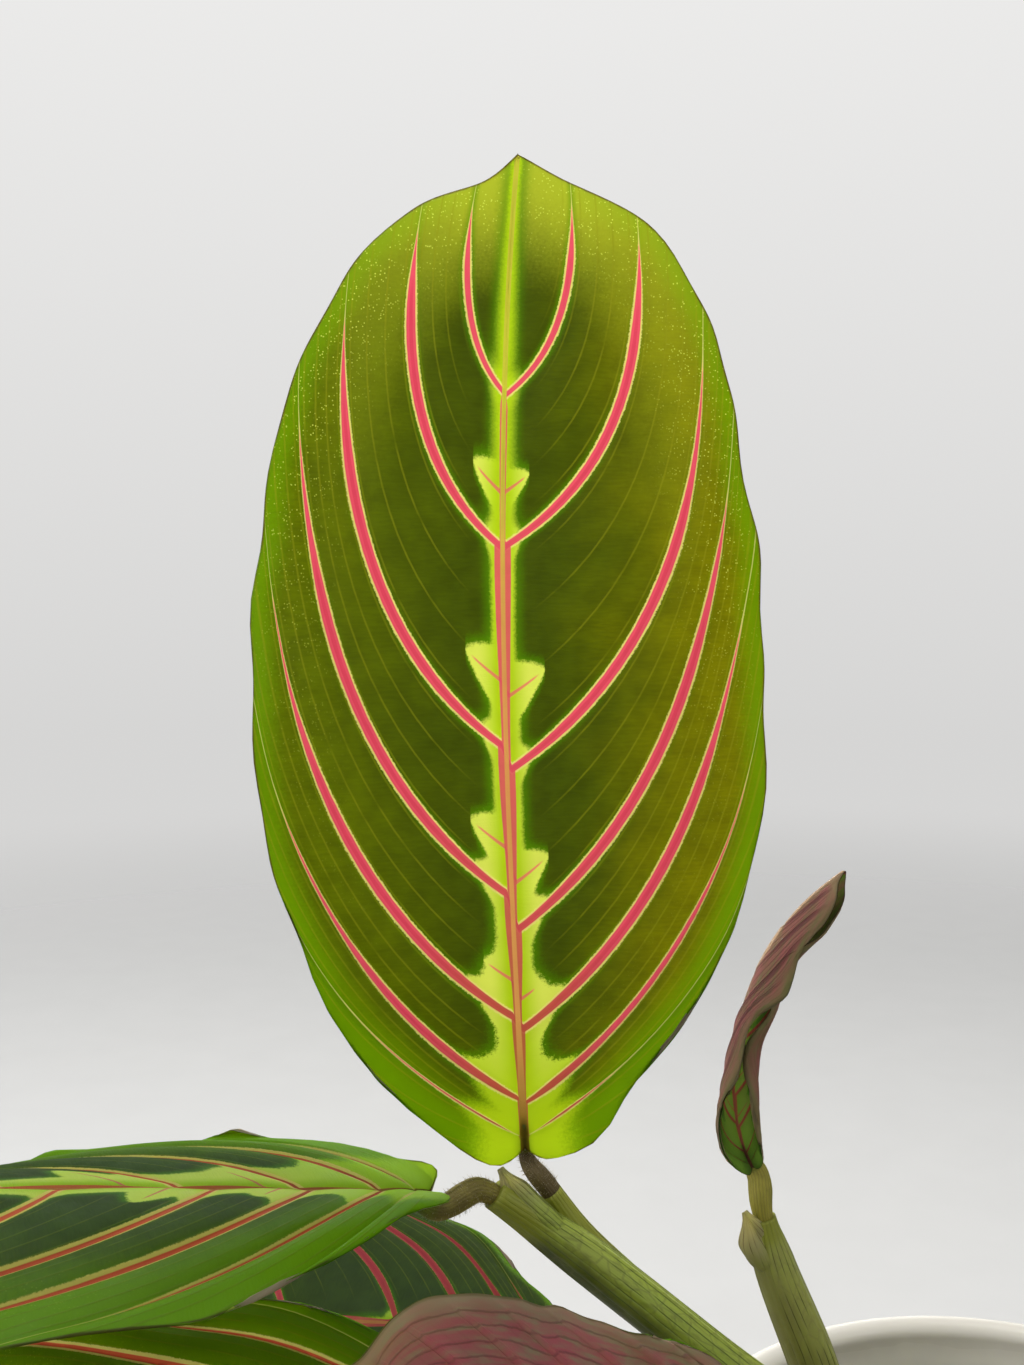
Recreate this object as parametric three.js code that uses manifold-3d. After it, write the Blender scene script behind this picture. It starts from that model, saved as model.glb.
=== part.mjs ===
// A potted prayer plant (Maranta): a small glazed pot, potting soil, ten leafy stems, and fourteen
// blades, each on its own swollen joint (pulvinus). Millimetres, +Z up, the origin at the centre of
// the pot's flat base.
import * as THREE from "three";
import { mergeVertices } from "three/addons/utils/BufferGeometryUtils.js";
import Module from "manifold-3d";

const wasm = await Module();
wasm.setup();

// ---- driving dimensions ----
const GAP = 0.3; // between pieces that touch
const POT_HEIGHT = 95;
const POT_RIM_RADIUS = 52; // outside, at the rim's roll
const POT_BASE_RADIUS = 38;
const POT_FOOT_BEVEL = 1.5;
const POT_MOUTH_RADIUS = 47; // inside, just under the rim's roll
const POT_FLOOR_RADIUS = 36.8; // inside, at the floor
const POT_FLOOR = 6; // thickness of the floor
const POT_CORNER = 2; // bevel between the floor and the wall, inside
const POT_ROLL_STEPS = 6;
const POT_SIDES = 48;
const SOIL_EDGE = 87.5; // height of the soil where it meets the wall
const SOIL_MOUND = 2; // rise of the soil towards the middle
const SOIL_LUMP = 0.5; // height of the lumps on it
const SOIL_SIDES = 30;
const SOIL_RINGS = 5;
const SOIL_CLEAR = 0.4; // between the soil and the pot's wall
const ROOTED = 25; // depth that each stem stands in the soil
const BLADE = 0.8; // thickness of a leaf blade
const MIDRIB = 1.6; // depth of the midrib under the blade at its base, blade included
const MIDRIB_TIP = 0.95; // the same at the tip
const QUILT = 0.55; // rise of the blade between its side veins, on a blade QUILT_LENGTH long
const QUILT_LENGTH = 120;
const PULVINUS_RADIUS = 1.3;
const PULVINUS_CLEAR = 0.8; // between a pulvinus and the root of its midrib
const PETIOLE_RADIUS = 1.5;

const COLOURS = {
  leaf: { color: 0x4c6a22, roughness: 0.45, metalness: 0 },
  young_leaf: { color: 0x7a5a4c, roughness: 0.5, metalness: 0 },
  pulvinus: { color: 0x5a4a2a, roughness: 0.7, metalness: 0 },
  stem: { color: 0x7c8548, roughness: 0.55, metalness: 0 },
  soil: { color: 0x2c221a, roughness: 0.95, metalness: 0 },
  pot: { color: 0xd8d5c8, roughness: 0.2, metalness: 0 },
};

// ---- the leaf outline ----
// Half outlines of a blade, from the base notch to the tip, as shares of its half width and length.
const LEFT = [
  [0, 0], [0.12, -0.014], [0.29, 0.014], [0.57, 0.088], [0.77, 0.178], [0.895, 0.28], [0.96, 0.39],
  [0.965, 0.51], [0.925, 0.63], [0.81, 0.76], [0.64, 0.86], [0.39, 0.932], [0.12, 0.968], [0, 1],
];
const RIGHT = [
  [0, 0], [0.1, -0.01], [0.29, 0.01], [0.47, 0.075], [0.745, 0.165], [0.935, 0.28], [0.995, 0.4],
  [1, 0.51], [0.955, 0.635], [0.872, 0.76], [0.755, 0.853], [0.52, 0.932], [0.17, 0.976], [0, 1],
];
// Rows of a blade run from the midrib out to the margin the way its side veins do. Odd places in
// this list are the side veins, and the rows between them ride on the quilted swellings.
const VEINS = [0.332, 0.468, 0.597, 0.696, 0.79, 0.88, 0.932];
const ROWS = [0.06, 0.14, 0.25, ...VEINS.flatMap((v, i) => [v, (v + (VEINS[i + 1] ?? 0.985)) / 2])];
const BASE_ROWS = 2; // rows that start at the base point itself
const FIRST_VEIN = 3; // place of the first side vein in the rows
const ACROSS = [0.08, 0.38, 0.7, 1]; // places from the midrib to the margin

// ---- the blades ----
// spine: four Bezier points of the midrib. face: which way the upper side looks, at base and tip.
// fold and curl: how far the left and right half rise from the midrib, and bend on, in degrees;
// foldTip, where it is given, is the fold at the tip. mirrored swaps the two half outlines.
// wave: height, count and phase of the waves along the margin. stalk: where its stem ends.
const BLADES = {
  leaf_a: {
    length: 120.8, halfWidth: 31.1,
    spine: [[-72.4, -23.6, 158.3], [-74.6, -22.8, 198.4], [-76.8, -18.4, 238.5], [-73.3, -11.6, 278.9]],
    face: [[0, -0.996, 0.087], [0, -0.98, 0.18]],
    fold: [4, 4], curl: [-4, -6], wave: [0.8, 3, 0.5], stalk: [-69.5, -22.9, 153.2],
  },
  leaf_b: {
    length: 116, halfWidth: 32,
    spine: [[-83.6, -29.4, 156], [-108, -38, 160.3], [-150, -60.2, 172.3], [-187, -74, 174]],
    face: [[-0.16, 0, 0.99], [-0.1, 0.12, 0.97]],
    fold: [16, 8], foldTip: [-19, -29], curl: [-16, -18], wave: [-1.4, 1.33, 0.15],
    stalk: [-76.4, -26.3, 154.1], mirrored: true,
  },
  leaf_c: {
    length: 110, halfWidth: 32.8,
    spine: [[-68, 0, 120.8], [-94.8, -0.3, 125], [-135, 36.4, 104], [-172, 4.2, 108.2]],
    face: [[0.28, -0.26, 1], [-0.2, -0.53, 1]],
    fold: [-22.5, -8.5], foldTip: [-3, 38.5], curl: [-10.9, -30], wave: [2.1, 3, -3.1],
    stalk: [-61.2, 1.5, 117.6],
  },
  leaf_d: {
    length: 116, halfWidth: 30.5,
    spine: [[-76, -40, 135], [-102, -54.7, 134.3], [-145, -63.6, 124.5], [-181, -72.8, 118.4]],
    face: [[0.05, -0.27, 1], [-0.3, -0.39, 1]],
    fold: [-13.3, 6.4], foldTip: [-18, 17.4], curl: [-27.5, -5.6], wave: [2.1, 3, 4],
    stalk: [-69.6, -37.4, 131.4],
  },
  leaf_e: {
    length: 74.5, halfWidth: 17.4,
    spine: [[-46.7, -31.2, 127.8], [-59.2, -46.4, 131.4], [-66.4, -56.6, 128.1], [-88.5, -78, 164]],
    face: [[-0.81, 1.16, 0.29], [-0.62, 0.55, -0.36]],
    fold: [17, 15.3], foldTip: [-2.5, 7.5], curl: [19.5, 2.5], wave: [1.29, 2.11, 0.32],
    stalk: [-42, -29.8, 123],
  },
  leaf_f: {
    length: 46, halfWidth: 6.7,
    spine: [[-43, -13.2, 151.4], [-48, -12, 160.4], [-45.5, -9.4, 179.4], [-31.6, -12.8, 189.9]],
    face: [[0.26, -1, -0.6], [0.13, -0.19, -1.02]],
    fold: [11, 5], foldTip: [34, 74], curl: [83, 158], wave: [1.2, 3.24, 1.56],
    stalk: [-41.6, -13.4, 145.2],
  },
  leaf_g: {
    length: 100, halfWidth: 26,
    spine: [[47, -35, 123], [62, -49, 132], [88, -78, 126], [108, -104, 100]],
    face: [[0.1, -0.1, 1], [0.4, -0.4, 0.8]],
    fold: [8, 5], curl: [-14, -14], wave: [1.5, 3, 2], stalk: [42, -32.5, 118.5],
  },
  leaf_h: {
    length: 88, halfWidth: 23,
    spine: [[26, -52, 112], [31, -68, 119], [39, -98, 110], [43, -122, 84]],
    face: [[0, 0, 1], [0.1, -0.6, 0.8]],
    fold: [6, 10], curl: [-10, -16], wave: [1.3, 3, 5], stalk: [24.5, -47, 108.5],
  },
  leaf_i: {
    length: 118, halfWidth: 30,
    spine: [[41, 46, 127], [57, 62, 138], [86, 96, 134], [110, 128, 108]],
    face: [[0.05, -0.1, 1], [0.3, 0.3, 0.9]],
    fold: [7, 9], curl: [-14, -12], wave: [1.6, 3, 3], stalk: [36.5, 41.5, 122.5],
  },
  leaf_j: {
    length: 112, halfWidth: 29,
    spine: [[66, 4, 168], [73, 6, 204], [86, 9, 243], [110, 13, 272]],
    face: [[-0.88, -0.42, 0.2], [-0.8, -0.35, 0.5]],
    fold: [6, 8], curl: [-6, -8], wave: [1.3, 3, 1.7], stalk: [63.2, 3.4, 162.4],
  },
  leaf_k: {
    length: 84, halfWidth: 22,
    spine: [[-4, -52, 107], [-8, -70, 113], [-15, -98, 104], [-19, -120, 80]],
    face: [[0, 0.05, 1], [0, -0.6, 0.8]],
    fold: [9, 6], curl: [-14, -10], wave: [1.2, 3, 0], stalk: [-3, -47, 103.5],
  },
  leaf_l: {
    length: 104, halfWidth: 27,
    spine: [[-59, 27, 99.5], [-75, 35, 105], [-106, 54, 98], [-134, 74, 72]],
    face: [[-0.1, 0.42, 0.9], [-0.4, 0.4, 0.8]],
    fold: [6, -4], curl: [-12, -14], wave: [1.4, 3, 2.2], stalk: [-53.5, 24.2, 99],
  },
  leaf_m: {
    length: 104, halfWidth: 27,
    spine: [[34, 36, 138], [38, 42, 166], [46, 56, 206], [58, 78, 234]],
    face: [[-0.5, -0.8, 0.3], [-0.45, -0.6, 0.6]],
    fold: [9, 6], curl: [-8, -10], wave: [1.4, 3, 4.4], stalk: [32.2, 32.6, 132.4],
  },
  leaf_n: {
    length: 100, halfWidth: 26,
    spine: [[42, -15, 143], [56, -22, 156], [86, -38, 168], [118, -54, 158]],
    face: [[-0.2, -0.05, 1], [0.2, -0.2, 1]],
    fold: [8, 8], curl: [-12, -14], wave: [1.4, 3, 5.6], stalk: [37, -13, 137.6],
  },
};

// ---- the stems ----
// Each stem is one solid: its sheathed stalk, the petioles that leave it, and the pointed end of
// a sheath. Every tube is a list of points with a radius at each.
const STEMS = {
  stem_1: [
    [[-7, -9, SOIL_EDGE - ROOTED, 2.6], [-8, -9.8, 86, 3], [-22, -13.4, 105.5, 3.4],
      [-48.3, -21, 129.8, 2.9], [-65.6, -24.2, 145.6, 2.7], [-76.1, -26.2, 154.1, 1.8]],
    [[-58, -22.6, 139.5, 2], [-65.4, -22.8, 147.2, 1.7], [-69.3, -22.9, 152.8, 1.4]],
    [[-66, -24.8, 146.4, 2.2], [-73.4, -26, 154, 1.1], [-75.4, -26.2, 157.2, 0.4]],
  ],
  stem_2: [
    [[-24, 2, SOIL_EDGE - ROOTED, 2.3], [-24.5, 1.4, 86, 2.6], [-28.2, -2.6, 104, 3],
      [-34.6, -11.4, 124.8, 3.1], [-40.2, -13.4, 139, 2.6], [-41.6, -13.4, 144.9, 1.6]],
    [[-40, -13.4, 137, 2.4], [-42.4, -14.2, 142.4, 1.6], [-44.2, -14.8, 146.2, 0.4]],
  ],
  stem_3: [
    [[-9, -27, SOIL_EDGE - ROOTED, 2.2], [-9.6, -27, 86, 2.5], [-22, -28.4, 108.4, 2.6],
      [-33, -29, 117.4, 2.3], [-41.8, -29.7, 122.8, 1.6]],
    [[-30, -28.8, 115.4, 1.9], [-35.4, -28.6, 121, 1.2], [-38, -28.4, 124.2, 0.5]],
  ],
  stem_4: [
    [[-21, -15.5, SOIL_EDGE - ROOTED, 2.2], [-22, -16, 86, 2.5], [-40, -22.5, 108, 2.6],
      [-59, -32, 124.4, 2.2], [-69.4, -37.3, 131.2, 1.5]],
    [[-55, -30.2, 121.8, 1.9], [-61.6, -32.6, 128.8, 1.2], [-64.4, -33.6, 132, 0.5]],
  ],
  stem_5: [
    [[-27, 14.5, SOIL_EDGE - ROOTED, 2.3], [-28, 14, 86, 2.6], [-43, 7.6, 104.6, 2.7],
      [-54.4, 3.4, 112.8, 2.2], [-61, 1.6, 117.5, 1.5]],
    [[-33.5, 11.8, 94.5, 2], [-40.5, 15.8, 100.6, PETIOLE_RADIUS],
      [-47.6, 20.4, 101.2, PETIOLE_RADIUS], [-53.3, 24.1, 99.1, PETIOLE_RADIUS]],
    [[-51, 4.6, 110.4, 1.9], [-54.8, 3.4, 115.6, 1.2], [-56.8, 2.8, 118.6, 0.5]],
  ],
  stem_6: [
    [[17.5, -23.5, SOIL_EDGE - ROOTED, 2.2], [18.4, -24, 86, 2.5], [30, -28, 108, 2.6],
      [37.4, -30.6, 115.4, 2.1], [41.8, -32.4, 118.3, 1.5]],
    [[21, -25, 93, 2], [22.6, -33, 101.5, PETIOLE_RADIUS], [24, -41.4, 106.6, PETIOLE_RADIUS],
      [24.5, -46.8, 108.4, PETIOLE_RADIUS]],
    [[34, -29.4, 112.4, 1.8], [36.6, -29.8, 117.6, 1.1], [38, -30, 120.2, 0.5]],
  ],
  stem_7: [
    [[15.5, 19.5, SOIL_EDGE - ROOTED, 2.2], [16.4, 20.6, 86, 2.5], [24.6, 30, 107.4, 2.6],
      [31.6, 36.8, 117.6, 2.1], [36.3, 41.3, 122.3, 1.5]],
    [[19.8, 24.6, 96, 2], [26, 27.4, 112, PETIOLE_RADIUS], [30, 30, 123, PETIOLE_RADIUS],
      [32.1, 32.4, 132.2, PETIOLE_RADIUS]],
    [[28, 33.4, 113, 1.8], [28.4, 35.8, 118.6, 1.1], [28.6, 36.8, 121.4, 0.5]],
  ],
  stem_8: [
    [[25, -2, SOIL_EDGE - ROOTED, 2.4], [25.8, -1.9, 86, 2.7], [36.5, -0.2, 115, 2.9],
      [52, 2.2, 145, 2.4], [63.1, 3.4, 162.1, 1.5]],
    [[47, 1.4, 136.5, 2], [50.2, 2, 145.6, 1.2], [51.6, 2.4, 149.6, 0.5]],
  ],
  stem_9: [
    [[0, -31, SOIL_EDGE - ROOTED, 2.1], [-0.2, -32, 86, 2.3], [-1.4, -38, 97.4, 2.1],
      [-2.9, -46.8, 103.4, 1.5]],
    [[-1, -36, 94.6, 1.7], [-0.6, -38.2, 99.8, 1.1], [-0.4, -39.4, 102.4, 0.5]],
  ],
  stem_10: [
    [[10, -5.4, SOIL_EDGE - ROOTED, 2.3], [10.8, -5.8, 86, 2.6], [21.6, -8.4, 110, 2.7],
      [31, -11, 129, 2.2], [36.8, -12.9, 137.4, 1.5]],
    [[28, -10.2, 123, 1.9], [30.4, -9.6, 130.4, 1.2], [31, -9.2, 134.2, 0.5]],
  ],
};

// ---- helpers ----
const vector = ([x, y, z]) => new THREE.Vector3(x, y, z);
const radians = THREE.MathUtils.degToRad;

/** A mesh geometry from points and triangles of point numbers, without the empty triangles. */
function faceted(points, triangles) {
  const whole = triangles.filter(([a, b, c]) => a !== b && b !== c && c !== a);
  const geometry = new THREE.BufferGeometry();
  geometry.setAttribute("position", new THREE.Float32BufferAttribute(points.flatMap((p) => [...p]), 3));
  geometry.setIndex(whole.flat());
  return geometry;
}

/** A geometry as a solid that can be joined and cut. */
function solid(geometry) {
  const bare = geometry.clone();
  bare.deleteAttribute("normal");
  bare.deleteAttribute("uv");
  const merged = mergeVertices(bare, 1e-4);
  return new wasm.Manifold(
    new wasm.Mesh({
      numProp: 3,
      vertProperties: merged.attributes.position.array,
      triVerts: new Uint32Array(merged.index.array),
    }),
  );
}

/** A solid back as a geometry. */
function geometryOf(body) {
  const { vertProperties, triVerts } = body.getMesh();
  const geometry = new THREE.BufferGeometry();
  geometry.setAttribute("position", new THREE.BufferAttribute(vertProperties, 3));
  geometry.setIndex(new THREE.BufferAttribute(triVerts, 1));
  return geometry;
}

/** A smooth place between list values: share 0 is the first point of the list and 1 the last. */
function along(list, share) {
  const place = THREE.MathUtils.clamp(share, 0, 1) * (list.length - 1);
  const from = Math.min(Math.floor(place), list.length - 2);
  const f = place - from;
  const at = (i) => list[THREE.MathUtils.clamp(i, 0, list.length - 1)];
  const [a, b, c, d] = [at(from - 1), at(from), at(from + 1), at(from + 2)];
  return b.map((_, i) => {
    const bend = 2 * a[i] - 5 * b[i] + 4 * c[i] - d[i];
    const turn = 3 * b[i] - a[i] - 3 * c[i] + d[i];
    return 0.5 * (2 * b[i] + (c[i] - a[i]) * f + bend * f * f + turn * f * f * f);
  });
}

/** A closed tube through points that each carry a radius; more widens it all over. */
function tube(points, sides = 8, steps = 3, more = 0) {
  const curve = new THREE.CatmullRomCurve3(points.map(vector), false, "centripetal");
  const rings = (points.length - 1) * steps;
  const frames = curve.computeFrenetFrames(rings, false);
  const radii = points.map((p) => [p[3]]);
  const vertices = [];
  for (let i = 0; i <= rings; i++) {
    const centre = curve.getPointAt(i / rings);
    const nearest = curve.getUtoTmapping(i / rings);
    const radius = along(radii, nearest)[0] + more;
    for (let k = 0; k < sides; k++) {
      const angle = (2 * Math.PI * k) / sides;
      vertices.push(
        centre
          .clone()
          .addScaledVector(frames.normals[i], radius * Math.cos(angle))
          .addScaledVector(frames.binormals[i], radius * Math.sin(angle)),
      );
    }
  }
  const first = vertices.push(curve.getPointAt(0).addScaledVector(frames.tangents[0], -more)) - 1;
  const last = vertices.push(curve.getPointAt(1)) - 1;
  const triangles = [];
  for (let k = 0; k < sides; k++) {
    const next = (k + 1) % sides;
    triangles.push([first, next, k], [last, rings * sides + k, rings * sides + next]);
    for (let i = 0; i < rings; i++) {
      const a = i * sides + k;
      const b = i * sides + next;
      triangles.push([a, b, b + sides], [a, b + sides, a + sides]);
    }
  }
  return faceted(vertices, triangles);
}

// ---- a blade ----
/** Where a blade's flat pattern lies: x out from the midrib, y along it, in mm. */
function pattern(blade, row, out, side) {
  const start = row ** 4;
  const rim = row ** (0.88 + 0.56 * start);
  const [rimX, rimY] = along(side < 0 !== Boolean(blade.mirrored) ? LEFT : RIGHT, rim);
  const margin = [rimX * blade.halfWidth, rimY * blade.length];
  const foot = [0, start * blade.length];
  const reach = [0.765 + 0.89 * start, 0.293 - 0.027 * start];
  const swing = foot.map((f, i) => f + (margin[i] - f) * reach[i]);
  const [x, y] = foot.map(
    (f, i) => (1 - out) ** 2 * f + 2 * out * (1 - out) * swing[i] + out ** 2 * margin[i],
  );
  return { x: side * x, y };
}

/** A blade bent into place: a function from the flat pattern to points in space. */
function bent(blade) {
  const spine = new THREE.CubicBezierCurve3(...blade.spine.map(vector));
  const [faceBase, faceTip] = blade.face.map(vector);
  return ({ x, y }, lift = 0) => {
    const share = y / blade.length;
    const inside = THREE.MathUtils.clamp(share, 0, 1);
    const tangent = spine.getTangentAt(inside);
    const past = (share - inside) * blade.length;
    const centre = spine.getPointAt(inside).addScaledVector(tangent, past);
    const face = faceBase.clone().lerp(faceTip, inside);
    face.addScaledVector(tangent, -face.dot(tangent)).normalize();
    const across = tangent.clone().cross(face);
    const half = x < 0 ? 0 : 1;
    const foldTip = blade.foldTip ?? blade.fold;
    const fold = radians(THREE.MathUtils.lerp(blade.fold[half], foldTip[half], inside));
    const curl = radians(blade.curl[half]);
    const out = Math.abs(x) / blade.halfWidth;
    const radius = blade.halfWidth / curl;
    const side = Math.sign(x) * radius * (Math.sin(fold + curl * out) - Math.sin(fold));
    const rise = radius * (Math.cos(fold) - Math.cos(fold + curl * out));
    const [height, count, phase] = blade.wave;
    const wave = height * out ** 3 * Math.sin(2 * Math.PI * count * share + phase + 2 * half);
    return centre.addScaledVector(across, side).addScaledVector(face, rise + wave + lift);
  };
}

/** One leaf blade: a thin waved sheet with a midrib under it, split alike on both faces. */
function bladeGeometry(blade) {
  const place = bent(blade);
  const top = [];
  const number = new Map();
  const add = (key, point) => number.set(key, top.push(point) - 1);
  const ribs = [["base", 0], ["tip", 1]];
  add("base", place({ x: 0, y: 0 }));
  add("tip", place({ x: 0, y: blade.length }));
  ROWS.forEach((row, i) => {
    const swollen = i >= FIRST_VEIN && (i - FIRST_VEIN) % 2 === 1;
    const height = swollen ? (QUILT * blade.length) / QUILT_LENGTH : 0;
    if (i >= BASE_ROWS) {
      add(`${i},0`, place(pattern(blade, row, 0, 1)));
      ribs.push([`${i},0`, row ** 4]);
    }
    for (const side of [-1, 1]) {
      ACROSS.forEach((out, k) => {
        const lift = height * Math.sin(Math.PI * (0.1 + 0.9 * out));
        add(`${i},${side * (k + 1)}`, place(pattern(blade, row, out, side), lift));
      });
    }
  });
  const at = (i, k) => {
    if (i < 0 || (k === 0 && i < BASE_ROWS)) return number.get("base");
    return i >= ROWS.length ? number.get("tip") : number.get(`${i},${k}`);
  };
  const faces = [];
  for (let i = -1; i < ROWS.length; i++) {
    for (let k = -ACROSS.length; k < ACROSS.length; k++) {
      const [a, b, c, d] = [at(i, k), at(i, k + 1), at(i + 1, k + 1), at(i + 1, k)];
      if (k < 0) faces.push([a, b, d], [b, c, d]);
      else faces.push([a, b, c], [a, c, d]);
    }
  }
  // The underside follows the upper side at the blade's thickness, deeper along the midrib.
  const sheet = faceted(top, faces);
  sheet.computeVertexNormals();
  const depths = top.map(() => BLADE);
  for (const [key, share] of ribs) {
    depths[number.get(key)] = THREE.MathUtils.lerp(MIDRIB, MIDRIB_TIP, share);
  }
  const under = top.map((point, i) => {
    const normal = new THREE.Vector3().fromBufferAttribute(sheet.attributes.normal, i);
    return point.clone().addScaledVector(normal, -depths[i]);
  });
  const right = ROWS.map((_, i) => `${i},${ACROSS.length}`);
  const left = ROWS.map((_, i) => `${i},${-ACROSS.length}`).reverse();
  const rim = ["base", ...right, "tip", ...left].map((key) => number.get(key));
  const count = top.length;
  const triangles = [...faces, ...faces.map(([a, b, c]) => [a + count, c + count, b + count])];
  rim.forEach((a, i) => {
    const b = rim[(i + 1) % rim.length];
    triangles.push([a, a + count, b + count], [a, b + count, b]);
  });
  return faceted([...top, ...under], triangles);
}

/** The swollen joint between a stem's end and the root of a blade's midrib. */
function pulvinusGeometry(blade, stalkDirection) {
  const [base, next] = blade.spine.map(vector);
  const tangent = next.clone().sub(base).normalize();
  const face = vector(blade.face[0]);
  face.addScaledVector(tangent, -face.dot(tangent)).normalize();
  const end = base.clone().addScaledVector(face, -(BLADE + PULVINUS_RADIUS));
  end.addScaledVector(tangent, -PULVINUS_CLEAR);
  const start = vector(blade.stalk).addScaledVector(stalkDirection, GAP);
  const reach = start.distanceTo(end) * 0.4;
  const curve = new THREE.CubicBezierCurve3(
    start,
    start.clone().addScaledVector(stalkDirection, reach),
    end.clone().addScaledVector(tangent, -reach),
    end,
  );
  const swell = [1, 1.12, 1.18, 1.12, 1];
  return tube(swell.map((s, i) => [...curve.getPoint(i / 4), s * PULVINUS_RADIUS]), 8, 1);
}

// ---- the pot and the soil ----
function potGeometry() {
  const roll = (POT_RIM_RADIUS - POT_MOUTH_RADIUS) / 2; // radius of the rim's roll
  const centre = POT_RIM_RADIUS - roll;
  const profile = [[0, 0], [POT_BASE_RADIUS - POT_FOOT_BEVEL, 0], [POT_BASE_RADIUS, POT_FOOT_BEVEL]];
  for (let i = 0; i <= POT_ROLL_STEPS; i++) {
    const angle = (Math.PI * i) / POT_ROLL_STEPS;
    profile.push([centre + roll * Math.cos(angle), POT_HEIGHT - roll + roll * Math.sin(angle)]);
  }
  profile.push([POT_FLOOR_RADIUS, POT_FLOOR + POT_CORNER]);
  profile.push([POT_FLOOR_RADIUS - POT_CORNER, POT_FLOOR], [0, POT_FLOOR]);
  const points = profile.map(([r, z]) => new THREE.Vector2(r, z));
  return new THREE.LatheGeometry(points, POT_SIDES).rotateX(Math.PI / 2);
}

function soilGeometry() {
  const corner = POT_FLOOR + POT_CORNER;
  const roll = (POT_RIM_RADIUS - POT_MOUTH_RADIUS) / 2;
  const slope = (POT_MOUTH_RADIUS - POT_FLOOR_RADIUS) / (POT_HEIGHT - roll - corner);
  const wall = (z) => POT_FLOOR_RADIUS + slope * (z - corner) - SOIL_CLEAR;
  const bottom = POT_FLOOR + GAP;
  const profile = [
    [0, bottom],
    [POT_FLOOR_RADIUS - POT_CORNER - SOIL_CLEAR, bottom],
    [wall(corner + SOIL_CLEAR), corner + SOIL_CLEAR],
    [wall(SOIL_EDGE), SOIL_EDGE],
  ];
  for (let i = 1; i <= SOIL_RINGS; i++) {
    const share = i / SOIL_RINGS;
    const rise = SOIL_MOUND * Math.sin((share * Math.PI) / 2);
    profile.push([wall(SOIL_EDGE) * (1 - share), SOIL_EDGE + rise]);
  }
  const points = profile.map(([r, z]) => new THREE.Vector2(r, z));
  const lathe = new THREE.LatheGeometry(points, SOIL_SIDES).rotateX(Math.PI / 2);
  const position = lathe.attributes.position;
  for (let i = 0; i < position.count; i++) {
    const [x, y, z] = [position.getX(i), position.getY(i), position.getZ(i)];
    if (z <= SOIL_EDGE) continue;
    const lump = Math.sin(x * 0.31 + y * 0.17) * Math.cos(y * 0.37 - x * 0.11);
    position.setZ(i, z + SOIL_LUMP * lump);
  }
  return lathe;
}

// ---- assembly ----
const plant = new THREE.Group();
plant.name = "potted_prayer_plant";

function show(name, geometry, slot) {
  const flat = geometry.index ? geometry.toNonIndexed() : geometry;
  flat.computeVertexNormals();
  const mesh = new THREE.Mesh(flat, new THREE.MeshStandardMaterial(COLOURS[slot]));
  mesh.name = name;
  plant.add(mesh);
}

show("pot", potGeometry(), "pot");

// Stems stand in plain holes in the soil, a little wider and deeper than themselves.
let soil = solid(soilGeometry());
for (const [name, tubes] of Object.entries(STEMS)) {
  const [stalk, ...branches] = tubes;
  soil = soil.subtract(solid(tube(stalk, 8, 3, GAP)));
  const joined = branches.reduce((body, points) => body.add(solid(tube(points))), solid(tube(stalk)));
  show(name, geometryOf(joined), "stem");
}
show("potting_soil", geometryOf(soil), "soil");

/** The way a stem points where it ends at a blade's joint. */
function stalkEnd(target) {
  const ends = Object.values(STEMS).flat().map((points) => points.slice(-2).map(vector));
  ends.sort((a, b) => a[1].distanceTo(target) - b[1].distanceTo(target));
  return ends[0][1].clone().sub(ends[0][0]).normalize();
}

for (const [name, blade] of Object.entries(BLADES)) {
  const slot = name === "leaf_f" ? "young_leaf" : "leaf";
  show(name, bladeGeometry(blade), slot);
  const direction = stalkEnd(vector(blade.stalk));
  show(name.replace("leaf", "pulvinus"), pulvinusGeometry(blade, direction), "pulvinus");
}

export default plant;
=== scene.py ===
"""A potted prayer plant: dressed blades, stems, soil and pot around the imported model.

Tables and shapes are in millimetres, as in the solids' source; mesh_object turns them into metres.
"""

import math

import bmesh
import bpy
import numpy as np
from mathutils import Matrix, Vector


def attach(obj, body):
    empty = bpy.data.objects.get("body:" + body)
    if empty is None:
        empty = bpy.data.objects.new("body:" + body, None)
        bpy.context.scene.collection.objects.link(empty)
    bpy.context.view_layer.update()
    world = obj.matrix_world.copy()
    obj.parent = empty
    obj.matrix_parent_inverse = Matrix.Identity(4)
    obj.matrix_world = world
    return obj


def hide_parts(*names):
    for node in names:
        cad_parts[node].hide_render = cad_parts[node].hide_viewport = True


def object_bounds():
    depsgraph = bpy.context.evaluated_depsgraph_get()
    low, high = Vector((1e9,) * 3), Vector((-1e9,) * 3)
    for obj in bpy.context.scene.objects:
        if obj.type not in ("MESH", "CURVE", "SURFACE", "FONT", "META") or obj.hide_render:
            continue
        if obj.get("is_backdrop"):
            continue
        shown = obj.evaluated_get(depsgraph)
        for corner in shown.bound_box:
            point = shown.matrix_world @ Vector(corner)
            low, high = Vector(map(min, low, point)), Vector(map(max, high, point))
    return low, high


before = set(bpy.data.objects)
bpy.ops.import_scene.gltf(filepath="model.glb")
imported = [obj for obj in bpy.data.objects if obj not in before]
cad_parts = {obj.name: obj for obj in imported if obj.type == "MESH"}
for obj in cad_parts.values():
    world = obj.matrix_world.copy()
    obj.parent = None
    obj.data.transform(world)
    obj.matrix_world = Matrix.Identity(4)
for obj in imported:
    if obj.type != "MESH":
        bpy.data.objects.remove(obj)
cad_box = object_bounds()

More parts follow.
